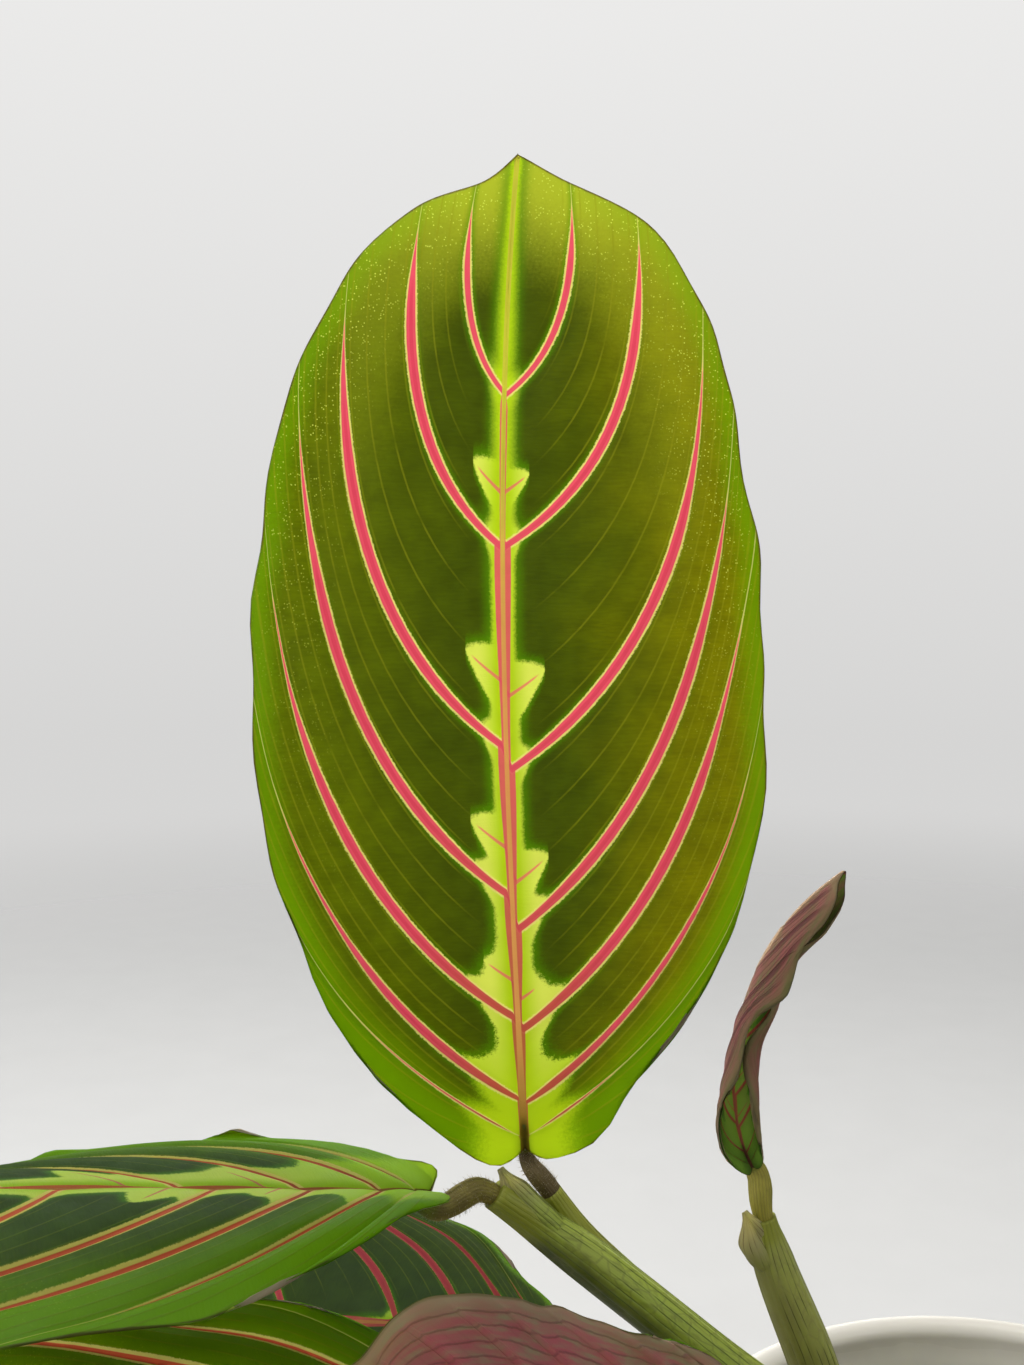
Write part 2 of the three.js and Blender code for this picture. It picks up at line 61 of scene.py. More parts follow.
MM = 0.001
GAP = 0.3
BLADE = 0.8
POT = {"height": 95, "rim": 52, "base": 38, "mouth": 47, "floor_radius": 36.8, "floor": 6, "corner": 2}
SOIL = {"edge": 87.5, "mound": 2, "lump": 0.5, "clear": 0.4, "bottom": 6.3, "shoulder": 8.4}
PULVINUS = {"radius": 1.3, "clear": 0.8, "swell": (1, 1.12, 1.18, 1.12, 1)}

# ---- camera: the photograph's own view, 1024 x 1365 ----
camera = bpy.data.objects.new("camera", bpy.data.cameras.new("camera"))
bpy.context.scene.collection.objects.link(camera)
bpy.context.scene.camera = camera
camera.location = (-0.074, -0.183, 0.229)
camera.rotation_euler = (math.radians(85), 0, 0)
camera.data.sensor_width = 36
camera.data.lens = 36
camera.data.clip_start = 0.005
camera.data.clip_end = 20

# ---- the plant's own numbers, the same as the solids' ----
# Half outlines of a blade from the base notch to the tip, in shares of its half width and length.
LEFT = (
    (0, 0), (0.12, -0.014), (0.29, 0.014), (0.57, 0.088), (0.77, 0.178), (0.895, 0.28), (0.96, 0.39),
    (0.965, 0.51), (0.925, 0.63), (0.81, 0.76), (0.64, 0.86), (0.39, 0.932), (0.12, 0.968), (0, 1),
)
RIGHT = (
    (0, 0), (0.1, -0.01), (0.29, 0.01), (0.47, 0.075), (0.745, 0.165), (0.935, 0.28), (0.995, 0.4),
    (1, 0.51), (0.955, 0.635), (0.872, 0.76), (0.755, 0.853), (0.52, 0.932), (0.17, 0.976), (0, 1),
)
# Places of the seven side veins on the left and the right half, from 0 at the base to 1 at the tip.
VEINS = ((0.33, 0.473, 0.603, 0.71, 0.796, 0.88, 0.932), (0.335, 0.463, 0.588, 0.684, 0.784, 0.88, 0.931))

# length, half width, midrib's Bezier points, which way the upper side looks (base, tip), fold
# (left, right) at the base and at the tip, curl, wave (height, count, phase), stem's end.
BLADES = {
    "leaf_a": (
        120.8, 31.1,
        ((-72.4, -23.6, 158.3), (-74.6, -22.8, 198.4), (-76.8, -18.4, 238.5), (-73.3, -11.6, 278.9)),
        ((0, -0.996, 0.087), (0, -0.98, 0.18)), (4, 4), (4, 4), (-4, -6), (0.8, 3, 0.5),
        (-69.5, -22.9, 153.2),
    ),
    "leaf_b": (
        116, 32, ((-83.6, -29.4, 156), (-108, -38, 160.3), (-150, -60.2, 172.3), (-187, -74, 174)),
        ((-0.16, 0, 0.99), (-0.1, 0.12, 0.97)), (16, 8), (-19, -29), (-16, -18), (-1.4, 1.33, 0.15),
        (-76.4, -26.3, 154.1),
    ),
    "leaf_c": (
        110, 32.8, ((-68, 0, 120.8), (-94.8, -0.3, 125), (-135, 36.4, 104), (-172, 4.2, 108.2)),
        ((0.28, -0.26, 1), (-0.2, -0.53, 1)), (-22.5, -8.5), (-3, 38.5), (-10.9, -30), (2.1, 3, -3.1),
        (-61.2, 1.5, 117.6),
    ),
    "leaf_d": (
        116, 30.5, ((-76, -40, 135), (-102, -54.7, 134.3), (-145, -63.6, 124.5), (-181, -72.8, 118.4)),
        ((0.05, -0.27, 1), (-0.3, -0.39, 1)), (-13.3, 6.4), (-18, 17.4), (-27.5, -5.6), (2.1, 3, 4),
        (-69.6, -37.4, 131.4),
    ),
    "leaf_e": (
        74.5, 17.4,
        ((-46.7, -31.2, 127.8), (-59.2, -46.4, 131.4), (-66.4, -56.6, 128.1), (-88.5, -78, 164)),
        ((-0.81, 1.16, 0.29), (-0.62, 0.55, -0.36)), (17, 15.3), (-2.5, 7.5), (19.5, 2.5),
        (1.29, 2.11, 0.32), (-42, -29.8, 123),
    ),
    "leaf_f": (
        46, 6.7, ((-43, -13.2, 151.4), (-48, -12, 160.4), (-45.5, -9.4, 179.4), (-31.6, -12.8, 189.9)),
        ((0.26, -1, -0.6), (0.13, -0.19, -1.02)), (11, 5), (34, 74), (83, 158), (1.2, 3.24, 1.56),
        (-41.6, -13.4, 145.2),
    ),
    "leaf_g": (
        100, 26, ((47, -35, 123), (62, -49, 132), (88, -78, 126), (108, -104, 100)),
        ((0.1, -0.1, 1), (0.4, -0.4, 0.8)), (8, 5), (8, 5), (-14, -14), (1.5, 3, 2), (42, -32.5, 118.5),
    ),
    "leaf_h": (
        88, 23, ((26, -52, 112), (31, -68, 119), (39, -98, 110), (43, -122, 84)),
        ((0, 0, 1), (0.1, -0.6, 0.8)), (6, 10), (6, 10), (-10, -16), (1.3, 3, 5), (24.5, -47, 108.5),
    ),
    "leaf_i": (
        118, 30, ((41, 46, 127), (57, 62, 138), (86, 96, 134), (110, 128, 108)),
        ((0.05, -0.1, 1), (0.3, 0.3, 0.9)), (7, 9), (7, 9), (-14, -12), (1.6, 3, 3), (36.5, 41.5, 122.5),
    ),
    "leaf_j": (
        112, 29, ((66, 4, 168), (73, 6, 204), (86, 9, 243), (110, 13, 272)),
        ((-0.88, -0.42, 0.2), (-0.8, -0.35, 0.5)), (6, 8), (6, 8), (-6, -8), (1.3, 3, 1.7),
        (63.2, 3.4, 162.4),
    ),
    "leaf_k": (
        84, 22, ((-4, -52, 107), (-8, -70, 113), (-15, -98, 104), (-19, -120, 80)),
        ((0, 0.05, 1), (0, -0.6, 0.8)), (9, 6), (9, 6), (-14, -10), (1.2, 3, 0), (-3, -47, 103.5),
    ),
    "leaf_l": (
        104, 27, ((-59, 27, 99.5), (-75, 35, 105), (-106, 54, 98), (-134, 74, 72)),
        ((-0.1, 0.42, 0.9), (-0.4, 0.4, 0.8)), (6, -4), (6, -4), (-12, -14), (1.4, 3, 2.2),
        (-53.5, 24.2, 99),
    ),
    "leaf_m": (
        104, 27, ((34, 36, 138), (38, 42, 166), (46, 56, 206), (58, 78, 234)),
        ((-0.5, -0.8, 0.3), (-0.45, -0.6, 0.6)), (9, 6), (9, 6), (-8, -10), (1.4, 3, 4.4),
        (32.2, 32.6, 132.4),
    ),
    "leaf_n": (
        100, 26, ((42, -15, 143), (56, -22, 156), (86, -38, 168), (118, -54, 158)),
        ((-0.2, -0.05, 1), (0.2, -0.2, 1)), (8, 8), (8, 8), (-12, -14), (1.4, 3, 5.6), (37, -13, 137.6),
    ),
}
STEMS = {
    "stem_1": (
        (
            (-7, -9, 62.5, 2.6), (-8, -9.8, 86, 3), (-22, -13.4, 105.5, 3.4), (-48.3, -21, 129.8, 2.9),
            (-65.6, -24.2, 145.6, 2.7), (-76.1, -26.2, 154.1, 1.8),
        ),
        ((-58, -22.6, 139.5, 2), (-65.4, -22.8, 147.2, 1.7), (-69.3, -22.9, 152.8, 1.4)),
        ((-66, -24.8, 146.4, 2.2), (-73.4, -26, 154, 1.1), (-75.4, -26.2, 157.2, 0.4)),
    ),
    "stem_2": (
        (
            (-24, 2, 62.5, 2.3), (-24.5, 1.4, 86, 2.6), (-28.2, -2.6, 104, 3), (-34.6, -11.4, 124.8, 3.1),
            (-40.2, -13.4, 139, 2.6), (-41.6, -13.4, 144.9, 1.6),
        ),
        ((-40, -13.4, 137, 2.4), (-42.4, -14.2, 142.4, 1.6), (-44.2, -14.8, 146.2, 0.4)),
    ),
    "stem_3": (
        (
            (-9, -27, 62.5, 2.2), (-9.6, -27, 86, 2.5), (-22, -28.4, 108.4, 2.6), (-33, -29, 117.4, 2.3),
            (-41.8, -29.7, 122.8, 1.6),
        ),
        ((-30, -28.8, 115.4, 1.9), (-35.4, -28.6, 121, 1.2), (-38, -28.4, 124.2, 0.5)),
    ),
    "stem_4": (
        (
            (-21, -15.5, 62.5, 2.2), (-22, -16, 86, 2.5), (-40, -22.5, 108, 2.6), (-59, -32, 124.4, 2.2),
            (-69.4, -37.3, 131.2, 1.5),
        ),
        ((-55, -30.2, 121.8, 1.9), (-61.6, -32.6, 128.8, 1.2), (-64.4, -33.6, 132, 0.5)),
    ),
    "stem_5": (
        (
            (-27, 14.5, 62.5, 2.3), (-28, 14, 86, 2.6), (-43, 7.6, 104.6, 2.7), (-54.4, 3.4, 112.8, 2.2),
            (-61, 1.6, 117.5, 1.5),
        ),
        (
            (-33.5, 11.8, 94.5, 2), (-40.5, 15.8, 100.6, 1.5), (-47.6, 20.4, 101.2, 1.5),
            (-53.3, 24.1, 99.1, 1.5),
        ),
        ((-51, 4.6, 110.4, 1.9), (-54.8, 3.4, 115.6, 1.2), (-56.8, 2.8, 118.6, 0.5)),
    ),
    "stem_6": (
        (
            (17.5, -23.5, 62.5, 2.2), (18.4, -24, 86, 2.5), (30, -28, 108, 2.6), (37.4, -30.6, 115.4, 2.1),
            (41.8, -32.4, 118.3, 1.5),
        ),
        ((21, -25, 93, 2), (22.6, -33, 101.5, 1.5), (24, -41.4, 106.6, 1.5), (24.5, -46.8, 108.4, 1.5)),
        ((34, -29.4, 112.4, 1.8), (36.6, -29.8, 117.6, 1.1), (38, -30, 120.2, 0.5)),
    ),
    "stem_7": (
        (
            (15.5, 19.5, 62.5, 2.2), (16.4, 20.6, 86, 2.5), (24.6, 30, 107.4, 2.6),
            (31.6, 36.8, 117.6, 2.1), (36.3, 41.3, 122.3, 1.5),
        ),
        ((19.8, 24.6, 96, 2), (26, 27.4, 112, 1.5), (30, 30, 123, 1.5), (32.1, 32.4, 132.2, 1.5)),
        ((28, 33.4, 113, 1.8), (28.4, 35.8, 118.6, 1.1), (28.6, 36.8, 121.4, 0.5)),
    ),
    "stem_8": (
        (
            (25, -2, 62.5, 2.4), (25.8, -1.9, 86, 2.7), (36.5, -0.2, 115, 2.9), (52, 2.2, 145, 2.4),
            (63.1, 3.4, 162.1, 1.5),
        ),
        ((47, 1.4, 136.5, 2), (50.2, 2, 145.6, 1.2), (51.6, 2.4, 149.6, 0.5)),
    ),
    "stem_9": (
        ((0, -31, 62.5, 2.1), (-0.2, -32, 86, 2.3), (-1.4, -38, 97.4, 2.1), (-2.9, -46.8, 103.4, 1.5)),
        ((-1, -36, 94.6, 1.7), (-0.6, -38.2, 99.8, 1.1), (-0.4, -39.4, 102.4, 0.5)),
    ),
    "stem_10": (
        (
            (10, -5.4, 62.5, 2.3), (10.8, -5.8, 86, 2.6), (21.6, -8.4, 110, 2.7), (31, -11, 129, 2.2),
            (36.8, -12.9, 137.4, 1.5),
        ),
        ((28, -10.2, 123, 1.9), (30.4, -9.6, 130.4, 1.2), (31, -9.2, 134.2, 0.5)),
    ),
}
MIRRORED = ("leaf_b",)


# ---- materials ----
def linear(colour):
    """A colour of three numbers up to 255 in linear light with alpha; anything else as it is."""
    if not isinstance(colour, tuple) or len(colour) != 3:
        return colour
    shares = (c / 255 for c in colour)
    return (*(c / 12.92 if c <= 0.04045 else ((c + 0.055) / 1.055) ** 2.4 for c in shares), 1)


def operator(operation):
    return lambda self, other: self.paint.math(operation, self, other)


class Value:
    """A number or colour that varies over a surface, with arithmetic that makes nodes."""

    def __init__(self, paint, socket):
        self.paint = paint
        self.socket = socket

    __add__ = __radd__ = operator("ADD")
    __sub__ = operator("SUBTRACT")
    __mul__ = __rmul__ = operator("MULTIPLY")
    __truediv__ = operator("DIVIDE")
    __pow__ = operator("POWER")

    def __rsub__(self, other):
        return self.paint.math("SUBTRACT", other, self)

    def __abs__(self):
        return self.paint.math("ABSOLUTE", self)


class Paint:
    """The nodes of one material, or of the owner that is given."""

    def __init__(self, name, owner=None):
        self.owner = owner or bpy.data.materials.new(name)
        self.owner.use_nodes = True
        self.tree = self.owner.node_tree
        self.tree.nodes.clear()

    def node(self, kind, inputs, output=0, **settings):
        """Adds a node with its inputs set or linked, and gives one of its outputs."""
        made = self.tree.nodes.new("ShaderNode" + kind)
        for key, value in settings.items():
            setattr(made, key, value)
        for key, value in inputs.items():
            if isinstance(value, Value):
                self.tree.links.new(value.socket, made.inputs[key])
            else:
                made.inputs[key].default_value = value
        return Value(self, made.outputs[output]) if made.outputs else None

    def math(self, operation, *values):
        return self.node("Math", dict(enumerate(values)), operation=operation)

    def split(self, vector):
        """The three parts of a vector."""
        first = self.node("SeparateXYZ", {0: vector})
        return [Value(self, part) for part in first.socket.node.outputs]

    def attribute(self, name, output="Fac"):
        return self.node("Attribute", {}, output, attribute_type="GEOMETRY", attribute_name=name)

    def place(self):
        return self.node("TexCoord", {}, "Object")

    def ramp(self, value, start, end, low=0.0, high=1.0, kind="SMOOTHSTEP"):
        inputs = dict(enumerate((value, start, end, low, high)))
        return self.node("MapRange", inputs, interpolation_type=kind, clamp=True)

    def inside(self, value, limit, soft):
        """1 where the value is below the limit, 0 where it is above."""
        return self.ramp(value, limit + soft, limit - soft)

    def stripes(self, value):
        """0 at the middle of each whole step of the value, 0.5 at its ends."""
        return abs(self.math("FRACT", value) - 0.5)

    def mix(self, share, first, second):
        inputs = {0: share, 6: linear(first), 7: linear(second)}
        return self.node("Mix", inputs, 2, data_type="RGBA")

    def layers(self, colour, *coats):
        """A colour under coats of (share, colour)."""
        for share, coat in coats:
            colour = self.mix(share, colour, coat)
        return colour

    def noise(self, place, scale, detail=2.0, stretch=None):
        if stretch:
            place = self.node("Mapping", {"Vector": place, "Scale": stretch})
        return self.node("TexNoise", {"Vector": place, "Scale": scale, "Detail": detail})

    def cells(self, place, scale, feature="F1"):
        return self.node("TexVoronoi", {"Vector": place, "Scale": scale}, "Distance", feature=feature)

    def bump(self, height, depth):
        """Relief: height runs from 0 to 1 over depth millimetres."""
        return self.node("Bump", {"Height": height, "Distance": depth * MM})

    def finish(self, colour, roughness, normal=None, specular=0.5, through=None, share=0.0, clear=None):
        """Principled surface; share of it lets light of the colour through, and clear of it is nothing."""
        relief = {"Normal": normal} if normal else {}
        inputs = {"Base Color": colour, "Roughness": roughness, "Specular IOR Level": specular, **relief}
        surface = self.node("BsdfPrincipled", inputs)
        if through:
            back = self.node("BsdfTranslucent", {"Color": through, **relief})
            surface = self.node("MixShader", {0: share, 1: surface, 2: back})
        if clear:
            surface = self.node("MixShader", {0: clear, 1: surface, 2: self.node("BsdfTransparent", {})})
        self.node("OutputMaterial", {0: surface})
        return self.owner


# Colours of the upper side: first as it reflects light, then as light comes through it.
UPPER = {
    "dark": ((46, 76, 28), (62, 76, 1)), "outer": ((60, 98, 18), (88, 102, 1)),
    "yellow": ((72, 102, 14), (114, 116, 1)), "margin": ((122, 184, 6), (94, 134, 2)),
    "upper_margin": ((100, 140, 34), (164, 178, 44)), "fringe": ((72, 134, 12), (76, 130, 1)),
    "line": ((92, 124, 44), (136, 142, 18)), "lime": ((150, 206, 44), (170, 204, 20)),
    "pale": ((178, 216, 88), (206, 222, 92)), "halo": ((206, 202, 96), (216, 214, 126)),
    "vein": ((176, 74, 78), (222, 82, 112)), "russet": ((206, 100, 64), (200, 86, 62)),
    "core": ((160, 60, 66), (204, 58, 92)), "low_vein": ((140, 68, 48), (170, 86, 56)),
    "low_midrib": ((104, 100, 36), (112, 98, 18)), "midrib": ((160, 112, 66), (212, 158, 92)),
    "top_midrib": ((146, 152, 58), (190, 194, 62)), "rim": ((74, 56, 34), (84, 64, 22)),
}
# The young leaf has the same colours both ways.
YOUNG = {
    "dark": (54, 88, 34), "outer": (64, 100, 36), "yellow": (70, 100, 34), "margin": (72, 108, 38),
    "upper_margin": (104, 84, 66), "fringe": (70, 112, 36), "line": (76, 92, 52), "lime": (84, 122, 40),
    "pale": (94, 124, 50), "halo": (98, 100, 50), "vein": (124, 58, 52), "core": (108, 50, 46),
    "low_vein": (112, 62, 48), "russet": (116, 60, 48), "low_midrib": (98, 64, 46),
    "midrib": (106, 62, 52), "top_midrib": (110, 64, 58), "rim": (74, 50, 40),
}
SIDE_VEINS = 7
LAST_ROW = 8
# Where a lobe stands between two side veins, and how far it spreads below and above, in mm.
LOBE = {"axis": 0.34, "below": 4.4, "above": 4.3}


class Leafing:
    """What all blade materials read: where a point lies among the veins, in mm of a blade 120 long."""

    def __init__(self, paint):
        for name in ("row", "edge", "pitch", "lobe"):
            setattr(self, name, paint.attribute(name))
        self.side = paint.attribute("mid")
        self.mid = abs(self.side)
        self.spot = paint.attribute("spot", "Vector")
        self.zone, self.vigour, self.bright = paint.split(paint.attribute("traits", "Vector"))
        self.share = self.row / LAST_ROW
        self.cell = paint.math("FRACT", self.row)
        self.jitter = paint.noise(self.spot, 2.6, 3) - 0.5
        self.comb = paint.noise(self.spot, 6, 2) - 0.5
        nearest = paint.math("ROUND", self.row)
        real = paint.math("GREATER_THAN", nearest, 0.5) * paint.math("LESS_THAN", nearest, SIDE_VEINS + 0.5)
        size = paint.ramp(nearest, 0.8, 2.2, 0.5, 1) * paint.ramp(nearest, 5.5, 7.2, 1, 0.7)
        self.size = size * real
        self.from_vein = abs(self.row - nearest) * self.pitch
        self.from_line = paint.stripes(self.cell * 4) * self.pitch / 4


def leaf_upper(name, palettes, through=0.74, gloss=0.22):
    paint = Paint(name)
    at = Leafing(paint)
    ramp, inside, noise, mix = paint.ramp, paint.inside, paint.noise, paint.mix
    ragged = at.jitter * 0.7 + at.comb * 0.5
    # Side veins, each with a pale comb-edged seam and a green fringe.
    reach = ramp(at.edge, 1.4, 10) * at.size
    width = ramp(at.mid, 0.5, 10, 0.4, 0.6) * reach * at.vigour
    vein = inside(at.from_vein, width, 0.06) * ramp(reach, 0.02, 0.08)
    core = inside(at.from_vein, width * 0.4, 0.05) * ramp(width, 0.3, 0.5)
    russet = ramp(at.vigour, 0.9, 0.7)
    seam = 0.2 + russet * 0.22 + ragged * 0.4 + ramp(at.zone, -3, 0, -0.2, 0)
    around = width + ramp(at.edge, 1, 9) * seam * ramp(at.size, 0.05, 0.5)
    halo = ramp(at.from_vein, around + 0.09, around - 0.06) * ramp(at.size, 0.05, 0.3)
    fringe = ramp(at.from_vein, around + 0.75, around - 0.1) * ramp(at.mid, 3, 16, 1, 0.2)
    fringe = fringe * ramp(at.size, 0.1, 0.4)
    # The midrib, flanked by the veins that run down beside it.
    rib = ramp(at.share, 0, 0.5, 0.56, 0.27)
    below_tip = ramp(at.row, 6.9, 7, 1, 0)
    cells = ramp(at.row, 1.5, 4.2, 0.2, 1) * ramp(at.row, 5.97, 6.05, 1, 0.25) * below_tip
    band = ramp(at.cell, 0.05, 0.9, 0.24, 0.72) * cells * at.vigour
    beside = inside(at.mid, rib + band, 0.05) * ramp(at.row, 0.8, 1.1)
    midrib = inside(at.mid, rib, 0.06)
    # The lime strip along the midrib, which spreads into the corners of the veins.
    strip = rib + band + 0.34 + 5.6 * (1 - at.share) ** 3 + at.zone * ramp(at.share, 1, 0.25)
    foot = ramp(at.cell, 0.62, 0.2) * ramp(at.row, 2.6, 5.6, 2.1, 0.5) * below_tip
    corner = ramp(at.from_vein - width, 2.4, 0.2) ** 2 * ramp(at.row, 1.5, 7, 2, 0.5)
    corner = corner * ramp(at.size, 0, 0.3)
    tip = ramp(at.row, 5.9, 6.5) * ramp(at.row, 7.9, 7.2)
    border = strip + foot * ramp(at.row, 1.6, 2.4) + corner
    border = border + ragged * ramp(at.share, 0, 0.6, 3, 0.7) + tip * 0.3
    lime = inside(at.mid, border, ramp(at.row, 2.4, 1.2, 0.34, 2.2) + tip * 0.5)
    green = ramp(at.mid, border + 1.7, border - 0.3)
    # The sail-shaped lobes that stand on the strip between the veins.
    left = paint.math("MAXIMUM", 1 - at.mid / (at.lobe + 0.001), 0.0)
    scale = ramp(at.lobe, 0, 6, 0, 1.1, "LINEAR")
    above = (at.cell - LOBE["axis"]) * at.pitch
    upper = LOBE["above"] * scale * left ** 0.75 + ragged * 0.9
    lower = LOBE["below"] * scale * left ** 0.8 + ragged * 1.1
    there = ramp(left, 0.0, 0.03)

    def sail(soft, grow):
        return inside(above, upper + grow, soft) * inside(-1 * above, lower + grow, soft) * there

    lobe = sail(0.26, 0.0)
    around_lobe = sail(0.75, 0.5)
    small = inside(abs(above), 0.05 + left * 0.2, 0.05) * ramp(left, 0.12, 0.3) * ramp(at.lobe, 1, 2)
    # The broad tones of the blade, its fine lines and its specks.
    broad = noise(at.spot, 0.09, 2)
    clouds = ramp(at.mid / (at.mid + at.edge + 0.01) + broad * 0.5, 0.35, 1.15)
    clouds = clouds * ramp(at.bright, 0.45, 1, 0.25, 1)
    turned = ramp(at.side + broad * 10, -4, 28) * ramp(at.bright, 2, 1.2)
    line = ramp(at.from_line, 0.17, 0.03) * ramp(at.mid, 3, 9) * ramp(noise(at.spot, 0.22), 0.2, 0.5)
    across = noise(at.spot, 1, 2, (0.5, 3.2, 1))
    shade = ramp(across, 0.3, 0.7, 0.92, 1.06) * ramp(noise(at.spot, 0.3, 3), 0.3, 0.7, 0.88, 1.1)
    grey = paint.node("CombineColor", {0: shade, 1: shade, 2: shade})
    # The bright margin zone widens with the trait; on leaf D it covers most of the blade, partly as painted
    # light.
    rim_zone = ramp(at.edge + at.jitter * 2, 4.2 * at.bright, 0.5) * 0.8
    top_zone = ramp(at.share, 0.5, 0.98) * ramp(at.edge + at.jitter * 4, 15, 1)
    base_zone = ramp(at.row + broad * 0.9 + at.jitter * 0.12, 2.3, 1.1) * ramp(at.bright, 0.5, 1)
    dots = ramp(paint.cells(at.spot, 2.5), 0.3, 0.12) * ramp(noise(at.spot, 0.7), 0.4, 0.56)
    dots = dots * ramp(at.share, 0.22, 0.6) * ramp(at.edge, 12, 2)
    hand = ramp(at.mid, 0.6, 3.2) * ramp(at.row, 1.6, 3.4)
    rim = ramp(at.edge, 0.36, 0.1)
    brown = ramp(at.mid, 14, 0.5) * ramp(at.row, 5.4, 2.2, 0.1, 0.9)
    risen, high = ramp(at.share, 0.12, 0.42), ramp(at.share, 0.66, 0.85)
    coats = (
        (rim_zone, "margin"), (top_zone, "upper_margin"), (base_zone * 0.85, "margin"),
        (line * 0.42, "line"), (dots * 0.8, "pale"), (green * 0.8, "fringe"),
        (around_lobe * 0.85, "fringe"), (fringe * 0.75, "fringe"), (lime, "limes"), (lobe, "limes"),
        (halo, "halo"), (small * 0.75, "vein"), (beside * 0.92, "veins"), (vein, "veins"),
        (midrib, "ribs"), (rim * 0.8, "rim"),
    )
    colours = []
    for way in (0, 1):
        tone = {key: pair[way] for key, pair in palettes.items()}
        base = mix(clouds, tone["dark"], mix(turned, tone["outer"], tone["yellow"]))
        base = paint.node("Mix", {0: 1.0, 6: base, 7: grey}, 2, data_type="RGBA", blend_type="MULTIPLY")
        veins = mix(core * 0.6, tone["vein"], tone["core"])
        tone["veins"] = paint.layers(veins, (russet, tone["russet"]), (brown, tone["low_vein"]))
        tone["limes"] = mix(hand, tone["lime"], tone["pale"])
        tone["ribs"] = mix(risen, tone["low_midrib"], mix(high, tone["midrib"], tone["top_midrib"]))
        colours.append(paint.layers(base, *((share, tone[key]) for share, key in coats)))
    normal = paint.bump(across * 0.55 + noise(at.spot, 7, 2) * 0.3 + line * 0.35 - vein * 0.5, 0.07)
    roughness = ramp(noise(at.spot, 0.5, 2), 0.3, 0.7, 0.4, 0.52) + vein * 0.08
    return paint.finish(colours[0], roughness, normal, gloss, colours[1], through)


def leaf_under(name, mauve, grey, through, share, hug=0.0):
    """The lower side; hug is how far its lines follow the margin instead of the veins."""
    paint = Paint(name)
    at = Leafing(paint)
    ramp, noise = paint.ramp, paint.noise
    broad = noise(at.spot, 0.12, 4)
    _, y, z = paint.split(at.spot)
    streaks = noise(paint.node("CombineXYZ", {0: at.edge * 1.3, 1: y * 0.14, 2: z}), 0.9, 4)
    reach, size = ramp(at.edge, 0.8, 6), ramp(at.size, 0.1, 0.5)
    beside = ramp(paint.stripes(at.edge / 2.1 + broad * 0.8), 0.1, 0.04) * ramp(at.edge, 0.8, 2)
    thin = ramp(at.from_line, 0.26, 0.1) * reach * (1 - hug) + beside * hug
    vein = ramp(at.from_vein, 0.4, 0.22) * reach * size
    red = ramp(at.from_vein, 1.3, 0.3) * reach * size
    colour = paint.layers(
        paint.mix(ramp(streaks + broad * 0.6, 0.62, 1.14), mauve, grey),
        (ramp(at.edge + broad * 7, 8, 2.5) * 0.7, grey), (red * (0.3 - 0.2 * hug), (156, 80, 88)),
        (thin * 0.6, (92, 48, 56)), (vein * (0.85 - 0.72 * hug), (104, 42, 52)),
        (ramp(at.mid, 0.85, 0.7), (134, 106, 74)), (ramp(at.edge, 0.5, 0.2) * 0.8, (80, 74, 44)),
    )
    through = paint.mix(thin * 0.3, through, (0.4, 0.3, 0.26, 1))
    fine = noise(at.spot, 5, 3)
    normal = paint.bump(thin * 0.5 + vein * 0.8 + fine * 0.35, 0.08)
    return paint.finish(colour, ramp(fine, 0.3, 0.7, 0.46, 0.6), normal, 0.3, through, share)


def stem_paint():
    paint = Paint("stem")
    ramp, noise, mix = paint.ramp, paint.noise, paint.mix
    names = ("girth", "length", "under", "part", "tip", "dry")
    girth, length, under, part, tip, dry = map(paint.attribute, names)
    spot = paint.attribute("spot", "Vector")
    broad = noise(spot, 0.25, 3)
    ribs = paint.stripes(girth * 19 + broad * 0.3)
    line = ramp(ribs, 0.1, 0.03) * ramp(noise(spot, 0.4), 0.35, 0.6)
    net = ramp(paint.cells(spot, 0.8, "DISTANCE_TO_EDGE"), 0.09, 0.02)
    # The sheath's downward-facing side is painted dark olive: painted shade.
    sheath = paint.layers(
        mix(broad, (136, 158, 44), (164, 172, 80)),
        (ramp(under + broad * 0.5 - 0.25, 0.35, 0.75), (66, 74, 14)),
        (ramp(noise(spot, 1.3, 4), 0.5, 0.68) * 0.3, (96, 100, 48)), (net * 0.3, (96, 98, 52)),
        (line * 0.7, (62, 78, 18)),
    )
    petiole = mix(line * 0.25, mix(broad, (122, 128, 30), (142, 146, 52)), (98, 98, 36))
    colour = paint.layers(
        sheath, (part, petiole), (dry * 0.6, mix(line, (152, 144, 84), (76, 56, 30))),
        (tip * 0.7, mix(line, (208, 200, 152), (126, 94, 62))), (ramp(length, 30, 8) * 0.5, (112, 78, 58)),
    )
    normal = paint.bump(ribs * 0.6 + noise(spot, 2.6, 3) * 0.5 - line * 0.4, 0.12)
    roughness = ramp(broad, 0.3, 0.7, 0.42, 0.56)
    return paint.finish(colour, roughness, normal, 0.34, colour, 0.22 + tip * 0.45)


def pulvinus_paint():
    paint = Paint("pulvinus")
    ramp = paint.ramp
    share, tone, under, girth = map(paint.attribute, ("share", "tone", "under", "girth"))
    spot = paint.attribute("spot", "Vector")
    broad = paint.noise(spot, 0.9, 3)
    streak = paint.stripes(girth * 22 + broad)
    olive = paint.mix(broad, (118, 112, 34), (154, 146, 54))
    colour = paint.layers(
        paint.mix(broad, (62, 50, 26), (102, 88, 50)),
        (ramp(tone + broad * 0.4 - 0.2 - share * 0.25, 0, 1), olive),
        (ramp(streak, 0.3, 0.05) * 0.25, (64, 54, 30)),
        (ramp(under, 0.5, 1) * 0.7 * ramp(tone, 0.1, 0.4), (150, 134, 36)),
        (ramp(share, 0.8, 0.9), (94, 104, 26)),
    )
    normal = paint.bump(streak * 0.5 + paint.noise(spot, 4, 3), 0.16)
    return paint.finish(colour, 0.6, normal, 0.3, colour, 0.12)


